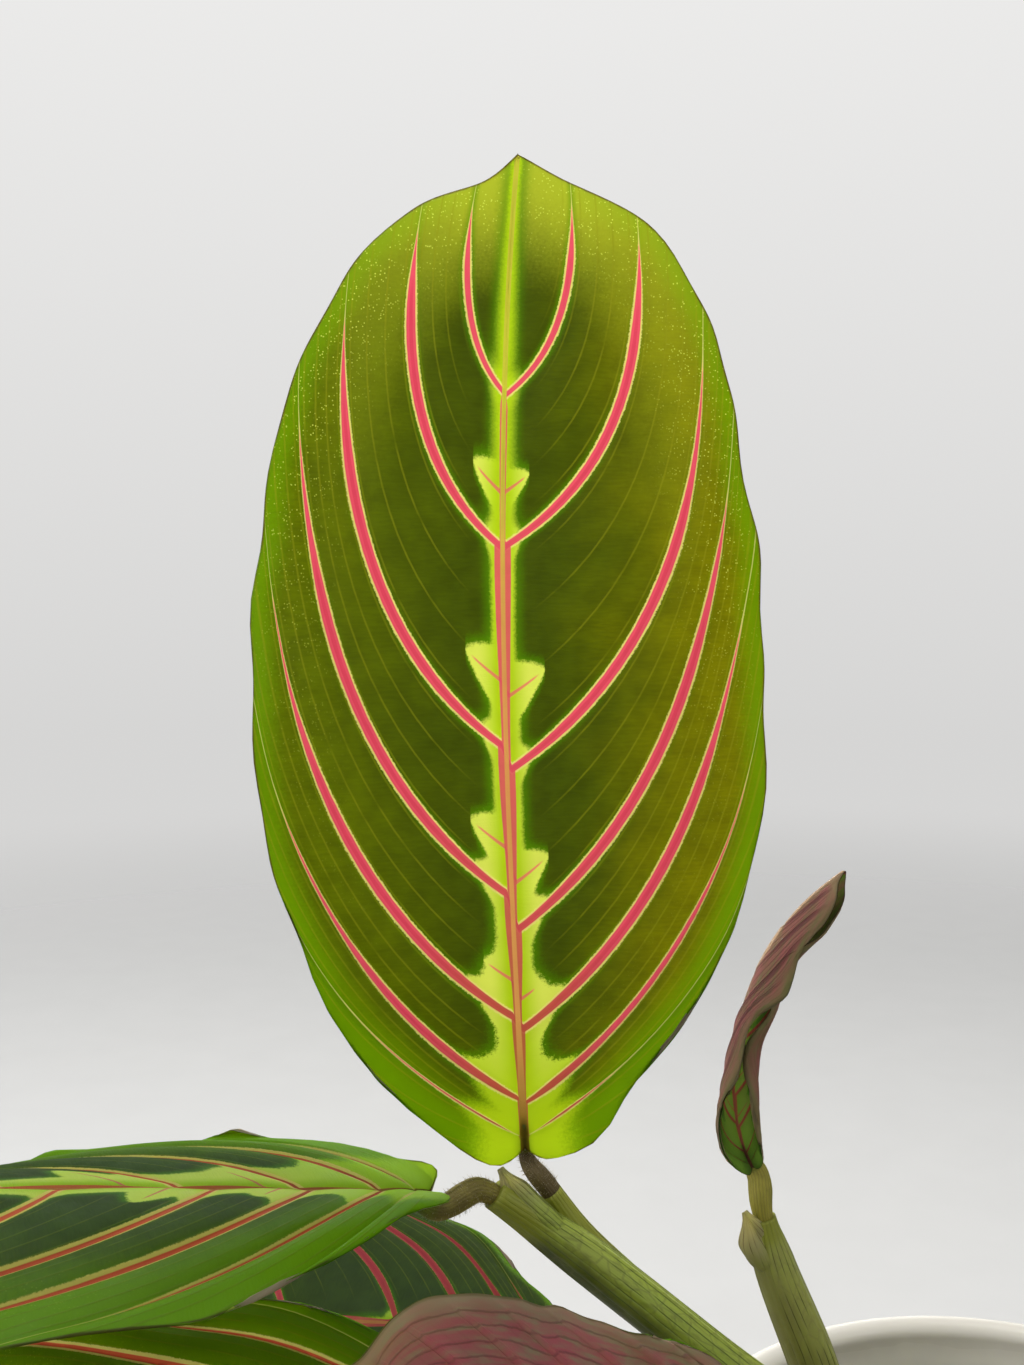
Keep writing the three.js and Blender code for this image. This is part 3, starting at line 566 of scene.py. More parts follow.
def hair_paint():
    paint = Paint("hair")
    tone = paint.noise(paint.place(), 900)
    return paint.finish(paint.mix(tone, (120, 104, 78), (176, 164, 132)), 0.5)


def pot_paint():
    paint = Paint("pot")
    ramp, noise = paint.ramp, paint.noise
    place = paint.place()
    x, y, height = paint.split(place)
    clouds, fine = noise(place, 26, 4), noise(place, 300, 3)
    specks = ramp(paint.cells(place, 420), 0.16, 0.06) * ramp(noise(place, 160), 0.6, 0.66)
    # The inner side of the pot lies within a cone halfway through its thickness; it is painted near white
    # there, as painted light in the shade inside the pot.
    between = 0.0379 + (height - 0.008) * 0.1373
    inner_side_painted_light = ramp(height + noise(place, 60, 3) * 0.006, 0.0965, 0.0915) * ramp(height, 0.003, 0.005)
    inner_side_painted_light = inner_side_painted_light * ramp((x * x + y * y) ** 0.5 - between, 0.0004, -0.0004)
    foot = ramp(height, 0.0028, 0.0012)
    # Near white on the inner side: painted light.
    colour = paint.layers(
        paint.mix(clouds, (197, 194, 185), (207, 204, 197)), (fine * 0.25, (194, 188, 174)),
        (specks * 0.5, (132, 116, 92)), (inner_side_painted_light * 0.9, (236, 234, 224)), (foot * 0.8, (172, 152, 126)),
    )
    normal = paint.bump(noise(place, 45, 2) + fine * 0.08, 0.14)
    return paint.finish(colour, ramp(clouds, 0.3, 0.7, 0.14, 0.24) + inner_side_painted_light * 0.3 + foot * 0.4, normal)


def soil_paint(name, dark, light, scale):
    paint = Paint(name)
    place = paint.place()
    tone, fine = paint.noise(place, scale, 4), paint.noise(place, scale * 5, 3)
    colour = paint.mix(paint.ramp(tone, 0.35, 0.7), dark, light)
    colour = paint.mix(paint.ramp(fine, 0.5, 0.7) * 0.5, colour, dark)
    return paint.finish(colour, 0.92, paint.bump(fine + tone, 0.5), 0.2)


def floor_paint():
    """A pale floor that fades into the background."""
    paint = Paint("floor")
    place = paint.place()
    x, y, _ = paint.split(place)
    colour = paint.mix(paint.noise(place, 40, 3), (190, 190, 189), (195, 195, 194))
    return paint.finish(colour, 0.8, None, 0.1, clear=paint.ramp((x * x + y * y) ** 0.5, 0.35, 1.15))


# ---- mesh helpers ----
def mesh_object(name, points, faces, materials, picks=None, attributes=None):
    """A smooth-shaded object from points in mm, with each face's material and its point attributes."""
    mesh = bpy.data.meshes.new(name)
    mesh.from_pydata((np.asarray(points) * MM).tolist(), [], faces)
    for material in materials:
        mesh.materials.append(material)
    if picks is not None:
        mesh.polygons.foreach_set("material_index", picks)
    for key, values in (attributes or {}).items():
        values = np.asarray(values, dtype=np.float32)
        kind, field = ("FLOAT_VECTOR", "vector") if values.ndim == 2 else ("FLOAT", "value")
        mesh.attributes.new(key, kind, "POINT").data.foreach_set(field, values.ravel())
    mesh.shade_smooth()
    mesh.update()
    made = bpy.data.objects.new(name, mesh)
    bpy.context.scene.collection.objects.link(made)
    return made


def piece(name, node, slot, *shape):
    """A piece that rides on the plant's one body and may stand for a node."""
    made = mesh_object(name, *shape)
    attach(made, "root")
    if node:
        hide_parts(node)


def faces_between(rows, closed=True):
    """Faces between neighbouring rows of point numbers, without the corners that repeat."""
    faces = []
    for low, high in zip(rows, rows[1:]):
        for k in range(len(low) - (not closed)):
            n = (k + 1) % len(low)
            corners = (low[k], low[n], high[n], high[k])
            faces.append([int(v) for i, v in enumerate(corners) if v != corners[i - 1]])
    return [face for face in faces if len(face) > 2]


def unit(v):
    return v / np.maximum(np.linalg.norm(v, axis=-1, keepdims=True), 1e-12)


def smooth(values, start, end):
    f = np.clip((values - start) / (end - start), 0, 1)
    return f * f * (3 - 2 * f)


def normals_of(points, faces):
    """Point normals of a mesh of quads and triangles, by area."""
    total = np.zeros_like(points)
    quads = np.array([face if len(face) == 4 else (*face, face[2]) for face in faces])
    a, b, c, d = (points[quads[:, i]] for i in range(4))
    weight = np.cross(c - a, d - b)
    for i in range(4):
        np.add.at(total, quads[:, i], weight)
    return unit(total)


def along(points, share):
    """A smooth place between list values: share 0 is the first and 1 the last."""
    points = np.array(points, float)
    last = len(points) - 1
    place = np.clip(share, 0, 1) * last
    start = np.minimum(place.astype(int), last - 1)
    f = (place - start)[..., None]
    a, b, c, d = (points[np.clip(start + i, 0, last)] for i in (-1, 0, 1, 2))
    bend = 2 * a - 5 * b + 4 * c - d
    turn = 3 * b - a - 3 * c + d
    return 0.5 * (2 * b + (c - a) * f + bend * f * f + turn * f**3)


def bezier(points, s):
    p = np.array(points, float)
    s = s[..., None]
    return (1 - s) ** 3 * p[0] + 3 * s * (1 - s) ** 2 * p[1] + 3 * s * s * (1 - s) * p[2] + s**3 * p[3]


def bezier_way(points, s):
    a, b, c = np.diff(np.array(points, float), axis=0)
    s = s[..., None]
    return unit((1 - s) ** 2 * a + 2 * s * (1 - s) * b + s * s * c)


# ---- blades ----
class Blade:
    def __init__(self, name, values, number):
        self.name = name
        self.number = number
        self.mirrored = name in MIRRORED
        (self.length, self.half_width, self.spine, face, fold, fold_tip, curl, self.wave,
         self.stalk) = values
        self.size = self.length / 120
        self.face = np.array(face, float)
        self.fold = np.radians(np.array((fold, fold_tip), float))
        self.curl = np.radians(np.array(curl, float))
        self.steps = np.linspace(0, 1, 201)
        run = np.linalg.norm(np.diff(bezier(self.spine, self.steps), axis=0), axis=1)
        self.run = np.concatenate([[0], np.cumsum(run)])

    def pattern(self, t, out, side):
        """The flat pattern: x out from the midrib, y along it, for rows t and shares out."""
        start = t**4
        outline = LEFT if (side < 0) != self.mirrored else RIGHT
        margin = along(outline, t ** (0.88 + 0.56 * start)) * (self.half_width, self.length)
        foot = np.stack([0 * t, self.length * start], -1)
        low = 0.13 * (1 - smooth(t, 0.3, 0.55))
        reach = np.stack([0.765 + 0.89 * start, 0.293 - 0.027 * start + low], -1)
        swing = foot + (margin - foot) * reach
        u = out[..., None]
        place = (1 - u) ** 2 * foot + 2 * u * (1 - u) * swing + u * u * margin
        return place * (side, 1)

    def bent(self, x, y, lift=0):
        """Places in the plant of the flat pattern's points, lifted off the blade."""
        share = y / self.length
        inside = np.clip(share, 0, 1)
        s = np.interp(inside * self.run[-1], self.run, self.steps)
        tangent = bezier_way(self.spine, s)
        centre = bezier(self.spine, s) + tangent * ((share - inside) * self.length)[..., None]
        face = self.face[0] + (self.face[1] - self.face[0]) * inside[..., None]
        face = unit(face - tangent * np.sum(face * tangent, -1, keepdims=True))
        across = np.cross(tangent, face)
        half = np.where(x < 0, 0, 1)
        fold = self.fold[0][half] + (self.fold[1] - self.fold[0])[half] * inside
        curl = self.curl[half]
        out = np.abs(x) / self.half_width
        radius = self.half_width / curl
        side = np.sign(x) * radius * (np.sin(fold + curl * out) - np.sin(fold))
        rise = radius * (np.cos(fold) - np.cos(fold + curl * out))
        height, count, phase = self.wave
        wave = height * out**3 * np.sin(2 * np.pi * count * share + phase + 2 * half)
        return centre + across * side[..., None] + face * (rise + wave + lift)[..., None]


def row_places(veins):
    """A smooth map from row number (0 base, 1 to 7 the side veins, 8 tip) to the place t."""
    knots = np.array([0, *veins, 1.0])
    steps = np.diff(knots)
    slopes = np.empty(len(knots))
    slopes[1:-1] = 2 * steps[1:] * steps[:-1] / (steps[1:] + steps[:-1])
    slopes[0], slopes[-1] = steps[0], steps[-1] * 0.8

    def place(row):
        start = np.minimum(np.floor(row).astype(int), len(steps) - 1)
        f = row - start
        a, b = knots[start], knots[start + 1]
        p, q = slopes[start], slopes[start + 1]
        return a + f * (p + f * (3 * (b - a) - 2 * p - q + f * (p + q - 2 * (b - a))))
    return place


# Rows of points in the first cell and in each later one, and shares of the way out to the margin.
FIRST_CELL = (
    0.02, 0.05, 0.09, 0.13, 0.18, 0.24, 0.3, 0.37, 0.44, 0.52, 0.6, 0.68, 0.76, 0.84, 0.91, 0.96,
)
CELL = (0, 0.035, 0.08, 0.14, 0.23, 0.36, 0.5, 0.64, 0.77, 0.86, 0.92, 0.965)
ROWS = np.array([*FIRST_CELL, *(k + c for k in range(1, LAST_ROW) for c in CELL)])
ACROSS = (
    0.012, 0.028, 0.05, 0.08, 0.12, 0.165, 0.215, 0.27, 0.325, 0.38, 0.435, 0.49, 0.545, 0.6, 0.65,
    0.7, 0.75, 0.795, 0.84, 0.88, 0.915, 0.945, 0.97, 0.988, 1.0,
)
THICK = {"blade": 0.4, "rim": 0.16, "midrib": 1.05, "midrib_tip": 0.25, "vein": 0.13}
RELIEF = {"quilt": 0.75, "vein": 0.14, "midrib": 0.28}
# Irregularity of the cut margin, and how far leaf M's is drawn in, in shares of the half width.
SCALLOP = 0.007
INSET = {"leaf_m": 0.022}
# How far the lime zone spreads in mm, how strong the veins are, how wide the bright margin is; leaf D's very
# wide bright margin is partly its fresh green and partly painted light that lifts a leaf lying in leaf B's
# shade.
TRAITS = {
    "leaf_a": (0, 1, 1), "leaf_b": (3.5, 0.66, 3.4), "leaf_c": (-3, 1.05, 0.5), "leaf_d": (1.5, 0.7, 8),
}
# How far the margins of the left and right half ripple, in mm.
SWAY = {"leaf_b": (0.1, 0.8)}
# Lengths of the lobes above each side vein of leaf A, left and right, and leaf C's share of them.
LOBES = ((0, 0, 0, 3.8, 4.6, 4.6, 3.6, 0), (0, 0, 0, 2.6, 4.6, 4.9, 3.2, 0))
LOBE_SHARE = {"leaf_c": 0.3}
ATTRIBUTES = ("row", "mid", "edge", "pitch", "lobe")


def lobe_lengths(lobes):
    """The length of the lobe in each row's cell; there is none at the tip."""
    return lambda rows: np.append(lobes, 0)[np.floor(rows).astype(int)]


def half_blade(blade, half, draw, ripple, traits):
    """The upper side of one half in rows from the midrib out, with its thickness and attributes."""
    size, side = blade.size, 2 * half - 1
    veins = np.array(VEINS[1 - half if blade.mirrored else half])
    if blade.number:
        veins = veins + draw.uniform(-0.008, 0.008, SIDE_VEINS)
    place = row_places(veins)

    def cut(t, u):
        """The flat pattern with the small irregularities of its margin."""
        waves = np.sin(41 * t + ripple[half]) + np.sin(67 * t + 2 * ripple[2 + half])
        waves = (SCALLOP * waves - INSET.get(blade.name, 0)) * smooth(u, 0.7, 1)
        waves = waves * smooth(t, 0.06, 0.2) * smooth(t, 0.97, 0.88)
        return blade.pattern(t, u, side) * np.stack([1 + waves, np.ones_like(waves)], -1)

    t, u = np.meshgrid(place(ROWS), ACROSS, indexing="ij")
    flat = cut(t, u)
    # How far apart whole rows are, across the veins.
    step = (place(np.minimum(ROWS + 0.01, LAST_ROW)) - place(ROWS - 0.01)) / 0.02
    later, further = np.minimum(t + 1e-3, 1), np.minimum(u + 1e-3, 1)
    d_row = blade.pattern(later, u, side) - blade.pattern(t - 1e-3, u, side)
    d_row = d_row / (later - t + 1e-3)[..., None] * step[:, None, None]
    d_out = unit(blade.pattern(t, further, side) - blade.pattern(t, u - 1e-3, side))
    pitch = np.abs(d_row[..., 0] * d_out[..., 1] - d_row[..., 1] * d_out[..., 0])
    rim_t = place(np.linspace(0, LAST_ROW, 300))
    rim = cut(rim_t, np.ones_like(rim_t))
    edge = np.min(np.linalg.norm(flat[:, :, None] - rim[None, None], axis=-1), axis=-1)
    lobes = np.array(LOBES[half], float)
    if blade.number:
        lobes = lobes * draw.uniform(0.7, 1.25, LAST_ROW) + traits[0] * (lobes > 0)
    lobes = np.maximum(lobes, 0) * LOBE_SHARE.get(blade.name, 1)
    # The blade swells between the veins, which lie in grooves, and sinks to the midrib.
    row = np.repeat(ROWS[:, None], len(ACROSS), 1)
    cell = row - np.floor(row)
    swell = np.where(row < 1, smooth(cell, 0, 1) * 0.6, np.sin(np.pi * cell) ** 0.7)
    swell = swell * np.sin(np.pi * (0.08 + 0.92 * u)) ** 0.75 * smooth(LAST_ROW - row, 0, 1.2)
    nearest = np.round(row)
    groove = np.exp(-((np.abs(row - nearest) * pitch / (0.75 * size)) ** 2))
    groove = groove * ((nearest > 0.5) & (nearest < SIDE_VEINS + 0.5))
    groove = groove * smooth(edge, 2, 9) * smooth(u, 0.02, 0.1)
    trough = np.exp(-((flat[..., 0] / (0.9 * size)) ** 2))
    y = flat[..., 1] / blade.length
    sway = np.sin(38 * y + ripple[half]) + 0.7 * np.sin(67 * y + ripple[2 + half])
    lift = RELIEF["quilt"] * size * swell - RELIEF["vein"] * groove - RELIEF["midrib"] * size * trough
    lift = lift + SWAY.get(blade.name, (0.16, 0.16))[half] * size * sway * smooth(u, 0.7, 1)
    depth = THICK["rim"] + (THICK["blade"] - THICK["rim"]) * smooth(edge, 0, 1.2 * size)
    return {
        "points": blade.bent(flat[..., 0], flat[..., 1], lift).reshape(-1, 3),
        "depth": (depth + THICK["vein"] * size * groove).ravel(), "flat": (flat / size).reshape(-1, 2),
        "row": row.ravel(), "mid": (flat[..., 0] / size).ravel(), "edge": (edge / size).ravel(),
        "pitch": (pitch / size).ravel(), "lobe": lobe_lengths(lobes)(row).ravel(),
    }


def midrib_line(blade, start, free):
    """The points of the midrib: its base, one for each row that has left the base, and its tip."""
    share = np.concatenate([[0], start[free], [1]])
    row = np.concatenate([[0], ROWS[free], [LAST_ROW]])
    taper = THICK["midrib"] + (THICK["midrib_tip"] - THICK["midrib"]) * share
    sunk = np.full(len(share), -RELIEF["midrib"] * blade.size)
    return {
        "points": blade.bent(0 * share, share * blade.length, sunk),
        "depth": THICK["blade"] + taper * blade.size, "flat": np.stack([0 * share, share * 120], -1),
        "row": row, "mid": 0 * share, "edge": np.interp(share, (0, 0.5, 1), (0, 27, 0)),
        "pitch": np.full(len(share), 9.0), "lobe": lobe_lengths(LOBES[0])(row),
    }


def leaf(name, values, number, materials):
    blade = Blade(name, values, number)
    draw = np.random.default_rng(100 + number)
    ripple = draw.uniform(0, 6.28, 6)
    traits = TRAITS.get(name, (draw.uniform(0, 3), draw.uniform(0.7, 1), draw.uniform(1, 2)))
    halves = [half_blade(blade, half, draw, ripple, traits) for half in (0, 1)]
    start = row_places(np.mean(VEINS, axis=0))(ROWS) ** 4
    free = start * blade.length > 0.35
    rib = midrib_line(blade, start, free)
    data = {key: np.concatenate([part[key] for part in (rib, *halves)]) for key in rib}
    top, tip = data["points"], len(rib["row"]) - 1
    rib_of = np.zeros(len(ROWS), int)
    rib_of[free] = 1 + np.arange(free.sum())
    faces, margins = [], []
    for half in (0, 1):
        grid = np.arange(len(ROWS) * len(ACROSS)).reshape(len(ROWS), -1)
        grid = np.column_stack([rib_of, tip + 1 + half * grid.size + grid])
        margins.append(grid[:, -1])
        part = faces_between([0 * grid[0], *grid, 0 * grid[0] + tip], False)
        faces += part if half else [face[::-1] for face in part]
    # The lower side, under the upper one by the thickness, and the rim between them.
    count, sheet = len(top), len(faces)
    under = top - normals_of(top, faces) * data["depth"][:, None]
    rim = [0, *margins[1], tip, *margins[0][::-1]]
    faces += [[v + count for v in reversed(face)] for face in faces]
    faces += [[int(a), int(a + count), int(b + count), int(b)] for a, b in zip(rim, rim[1:] + rim[:1])]
    picks = np.array([0] * sheet + [1] * sheet + [0] * len(rim))
    both = {key: np.tile(data[key], 2) for key in ATTRIBUTES}
    both["traits"] = np.tile(np.array(traits, float), (2 * count, 1))
    both["spot"] = np.tile(np.column_stack([data["flat"], np.full(count, number * 37.0)]), (2, 1))
    slot = "young_leaf" if name == "leaf_f" else "leaf"
    piece(f"{name}_blade", name, slot, np.concatenate([top, under]), faces, materials, picks, both)


# ---- stems and pulvini ----
def catmull(points, steps):
    """Centripetal curve through points, steps places for each stretch."""
    points = np.array(points, float)
    whole = np.concatenate([[2 * points[0] - points[1]], points, [2 * points[-1] - points[-2]]])
    found = []
    for i in range(len(points) - 1):
        a, b, c, d = whole[i:i + 4]
        s, m, e = (np.linalg.norm(q - p) ** 0.5 for p, q in ((a, b), (b, c), (c, d)))
        first = ((b - a) / s - (c - a) / (s + m) + (c - b) / m) * m
        second = ((c - b) / m - (d - b) / (m + e) + (d - c) / e) * m
        last = i == len(points) - 2
        f = np.linspace(0, 1, steps + 1 if last else steps, endpoint=last)[:, None]
        bend = 3 * (c - b) - 2 * first - second
        turn = 2 * (b - c) + first + second
        found.append(b + first * f + bend * f * f + turn * f**3)
    return np.concatenate(found)


def tube_shell(points, sides, steps, shape):
    """A closed tube round points with radii; shape gives its section for angle, length and share.

    Gives its points, faces and attributes, its middle line, and the way out at each point.
    """
    points = np.array(points, float)
    line = catmull(points[:, :3], steps)
    share = np.linspace(0, 1, len(line))
    radius = along(points[:, 3:4], share)[:, 0]
    tangent = unit(np.gradient(line, axis=0))
    normal = np.zeros_like(line)
    first = np.array([0, 0, 1.0])
    normal[-1] = unit(first - tangent[-1] * (first @ tangent[-1]))
    for i in range(len(line) - 2, -1, -1):
        normal[i] = unit(normal[i + 1] - tangent[i] * (normal[i + 1] @ tangent[i]))
    binormal = np.cross(tangent, normal)
    angle = np.linspace(0, 2 * np.pi, sides, endpoint=False)
    length = np.concatenate([[0], np.cumsum(np.linalg.norm(np.diff(line, axis=0), axis=1))])
    ring, turn = np.meshgrid(np.arange(len(line)), angle, indexing="ij")
    scale = radius[:, None] * shape(turn, length[ring], share[ring])
    way = np.cos(turn)[..., None] * normal[:, None] + np.sin(turn)[..., None] * binormal[:, None]
    surface = line[:, None] + way * scale[..., None]
    vertices = np.concatenate([surface.reshape(-1, 3), [line[0], line[-1]]])
    grid = np.arange(turn.size).reshape(turn.shape)
    faces = faces_between([0 * grid[0] + grid.size, *grid, 0 * grid[0] + grid.size + 1])
    # under is how far the surface faces down; the stems use it for painted shade on their lower side.
    values = {
        "girth": (turn / (2 * np.pi), 0, 0), "length": (length[ring], 0, length[-1]),
        "share": (share[ring], 0, 1), "under": (0.5 - 0.5 * way[..., 2], 0.5, 0.5),
    }
    data = {key: np.append(value, ends) for key, (value, *ends) in values.items()}
    return vertices, faces, data, line, way


def wrapped(girth, radius, height):
    """Texture places on a straight round stalk."""
    turn = girth * 2 * np.pi
    return np.stack([radius * np.cos(turn), radius * np.sin(turn), height], -1)


def sheathed(turn, length, share):
    """Ribs and the overlap of a sheath, dying out where the bare petiole leaves it."""
    bare = smooth(share, 0.88, 0.96)
    ribs = 0.018 * np.cos(15 * turn)
    lap = -0.09 * np.exp(-(((turn - 1.9) / 0.16) ** 2)) + 0.05 * np.exp(-(((turn - 2.25) / 0.2) ** 2))
    bulge = 0.03 * np.sin(length * 0.16 + turn)
    return 1 + (ribs + lap) * (1 - bare) + bulge * (1 - bare) + 0.03 * np.cos(2 * turn)


def petiole(turn, length, share):
    return 1 + 0.012 * np.cos(11 * turn) + 0.03 * np.sin(length * 0.21 + turn)


def scale_tip(turn, length, share):
    """The free pointed end of a sheath: flattened, hollow on its inner side."""
    flat = smooth(share, 0.2, 0.8)
    broad = 0.8 * np.exp(-(((share - 0.62) / 0.26) ** 2)) * np.cos(turn) ** 2
    ribs = 1 + 0.02 * np.cos(13 * turn)
    return (0.5 + 0.5 * smooth(share, 0, 0.3)) * ribs * (1 + broad - 0.72 * flat * np.sin(turn) ** 2)


def swollen(turn, length, share):
    return 1 + 0.015 * np.cos(16 * turn)


# How dry the sheaths of some stems are, and of all others.
DRY = {"stem_1": 0, "stem_2": 0.7, "stem_6": 0.4, "stem_8": 0.5}
DRYNESS = 0.15


def stem(name, tubes, material, number):
    points, faces, parts = [], [], []
    for order, tube in enumerate(tubes):
        first, tip = order == 0, order == len(tubes) - 1
        shape = scale_tip if tip else sheathed if first else petiole
        sides, steps, bare = (60, 14, (0.86, 0.93)) if first else (32, 10, (0.1, 0.4))
        vertices, quads, data = tube_shell(tube, sides, steps, shape)[:3]
        share = data["share"]
        data["part"] = 0 * share if tip else smooth(share, *bare)
        data["tip"] = smooth(share, 0.25, 0.7) if tip else 0 * share
        data["length"] = data["length"] + (0 if first else 60)
        data["dry"] = DRY.get(name, DRYNESS) * (1 - data["part"])
        data["spot"] = wrapped(data["girth"], 2.6, (data["length"] + 90 * number) * 0.45)
        count = sum(map(len, points))
        points.append(vertices)
        faces += [[v + count for v in face] for face in quads]
        parts.append(data)
    keys = ("girth", "length", "under", "part", "tip", "spot", "dry")
    data = {key: np.concatenate([part[key] for part in parts]) for key in keys}
    piece(f"{name}_stalk", name, "stem", np.concatenate(points), faces, [material], None, data)


def stalk_end(target):
    """The way a stem points where it ends at a blade's pulvinus."""
    ends = [np.array(points, float)[-2:, :3] for tubes in STEMS.values() for points in tubes]
    end = min(ends, key=lambda pair: np.linalg.norm(pair[1] - target))
    return unit(end[1] - end[0])


# Leaf A's pulvinus narrows towards its blade.
SLIM = {"pulvinus_a": (1, 1, 0.92, 0.78, 0.64)}
# How far its ends run on into the stem and the midrib, as the plant's own tissue does, and their radii.
ENDS = {"stem": (1.4, 1.25), "midrib": (3.2, 0.45)}
HAIR = {"count": 380, "thick": 0.028, "long": (0.3, 0.7), "zone": (0.15, 0.9)}
SIDES = 32


def pulvinus(name, blade, material, tone):
    tangent = bezier_way(blade.spine, np.array(0.0))
    face = unit(blade.face[0] - tangent * (blade.face[0] @ tangent))
    base = np.array(blade.spine[0], float)
    end = base - face * (BLADE + PULVINUS["radius"]) - tangent * PULVINUS["clear"]
    way = stalk_end(np.array(blade.stalk, float))
    start = np.array(blade.stalk) + way * GAP
    reach = np.linalg.norm(start - end) * 0.4
    middle = bezier((start, start + way * reach, end - tangent * reach, end), np.linspace(0, 1, 5))
    radii = np.array(SLIM.get(name, PULVINUS["swell"])) * PULVINUS["radius"]
    (back, radius), (on, tip) = ENDS["stem"], ENDS["midrib"]
    into = base - face * 0.5 + tangent * on
    points = [(*(start - way * back), radius), *np.column_stack([middle, radii]), (*into, tip)]
    vertices, faces, data, line, out = tube_shell(points, SIDES, 8, swollen)
    data["spot"] = wrapped(data["girth"], 1.3, data.pop("length") * 0.5)
    data["tone"] = np.full(len(vertices), tone)
    piece(f"{name}_joint", name, "pulvinus", vertices, faces, [material], None, data)
    return blade.number, vertices, line, out


def hairs(name, material, number, vertices, line, out):
    """Short hairs on a pulvinus, each a three-sided spike."""
    draw = np.random.default_rng(500 + number)
    rings = len(line)
    low, high = (int(rings * share) for share in HAIR["zone"])
    points, faces = [], []
    for _ in range(HAIR["count"]):
        i, k = draw.integers(low, high), draw.integers(SIDES)
        root = vertices[i * SIDES + k]
        ahead = unit(line[min(i + 1, rings - 1)] - line[i - 1])
        lean = unit(out[i, k] + ahead * draw.uniform(0.1, 0.7) + draw.normal(0, 0.15, 3))
        side = unit(np.cross(lean, ahead))
        third = np.cross(lean, side)
        n = len(points)
        points += [root - lean * 0.05 + (side * math.cos(a) + third * math.sin(a)) * HAIR["thick"]
                   for a in (0, 2.094, 4.189)]
        points.append(root + lean * draw.uniform(*HAIR["long"]))
        faces += [[n, n + 1, n + 3], [n + 1, n + 2, n + 3], [n + 2, n, n + 3], [n, n + 2, n + 1]]
    piece(f"{name}_hairs", None, "pulvinus", points, faces, [material])


# ---- pot and soil ----
def lathe(profile, sides, wobble=lambda angle, z: 0):
    """Turns a profile of (radius, height) round Z; points on the axis are single."""
    points, rings = [], []
    for radius, z in profile:
        if radius == 0:
            rings.append([len(points)] * sides)
            points.append((0, 0, z))
            continue
        rings.append(list(range(len(points), len(points) + sides)))
        for k in range(sides):
            angle = 2 * math.pi * k / sides
            r = radius + wobble(angle, z)
            points.append((r * math.cos(angle), r * math.sin(angle), z))
    return points, faces_between(rings)


# The underside and foot ring of the pot.
FOOT = ((0, 0.9), (31, 0.9), (32.2, 0.6), (32.8, 0.15), (33.6, 0), (36.6, 0), (37.4, 0.25), (37.9, 1))
GLAZE = {"slack": 0.02, "wave": 0.05}


def pot():
    roll = (POT["rim"] - POT["mouth"]) / 2
    centre, top = POT["rim"] - roll, POT["height"] - roll
    base, bottom = POT["base"] - GLAZE["slack"], POT["floor_radius"]
    profile = [*FOOT]
    for i in range(1, 40):
        z = 1 + (top - 1) * i / 40
        radius = base + (POT["rim"] - GLAZE["slack"] - base) * i / 40
        profile.append((radius + GLAZE["wave"] * math.sin(z * 1.9), z))
    for i in range(19):
        angle = math.pi * i / 18
        profile.append((centre + roll * math.cos(angle), top + roll * math.sin(angle)))
    for i in range(1, 30):
        z = top + (POT["floor"] + POT["corner"] - top) * i / 30
        profile.append((POT["mouth"] + (bottom - POT["mouth"]) * i / 30, z))
    profile += [(bottom - 0.7, POT["floor"] + 0.6), (bottom - 2, POT["floor"]), (0, POT["floor"])]
    shape = lathe(profile, 160, lambda angle, z: GLAZE["wave"] * math.sin(3 * angle + z * 0.05))
    piece("glazed_pot", "pot", "pot", *shape, [pot_paint()])


def soil_height(x, y):
    radius = np.hypot(x, y) / 46
    mound = SOIL["mound"] * np.sin((1 - np.clip(radius, 0, 1)) * np.pi / 2)
    lump = np.sin(x * 0.31 + y * 0.17) * np.cos(y * 0.37 - x * 0.11)
    rough = np.sin(x * 1.1 + 2 * np.sin(y * 0.7)) * np.cos(y * 1.3 + 1.5 * np.sin(x * 0.9))
    fine = np.sin(x * 2.9 + 3 * np.cos(y * 1.7)) * np.sin(y * 2.6 + 2 * np.sin(x * 2.1))
    return SOIL["edge"] + mound + SOIL["lump"] * lump + 0.38 * rough + 0.2 * fine


# name, count, smallest and largest radius, squash in y and z, dark and light colour, grain's scale.
GRAINS = (
    ("crumbs", 620, (0.45, 1.25), (1, 0.5), (36, 27, 20), (84, 64, 46), 500),
    ("bark", 90, (0.9, 2.0), (0.6, 0.25), (58, 38, 24), (112, 80, 54), 420),
    ("perlite", 46, (0.6, 1.2), (1, 0.75), (196, 190, 178), (226, 222, 212), 600),
)
# Stands for the height of the points that soil_height lifts to the surface.
SURFACE = 100


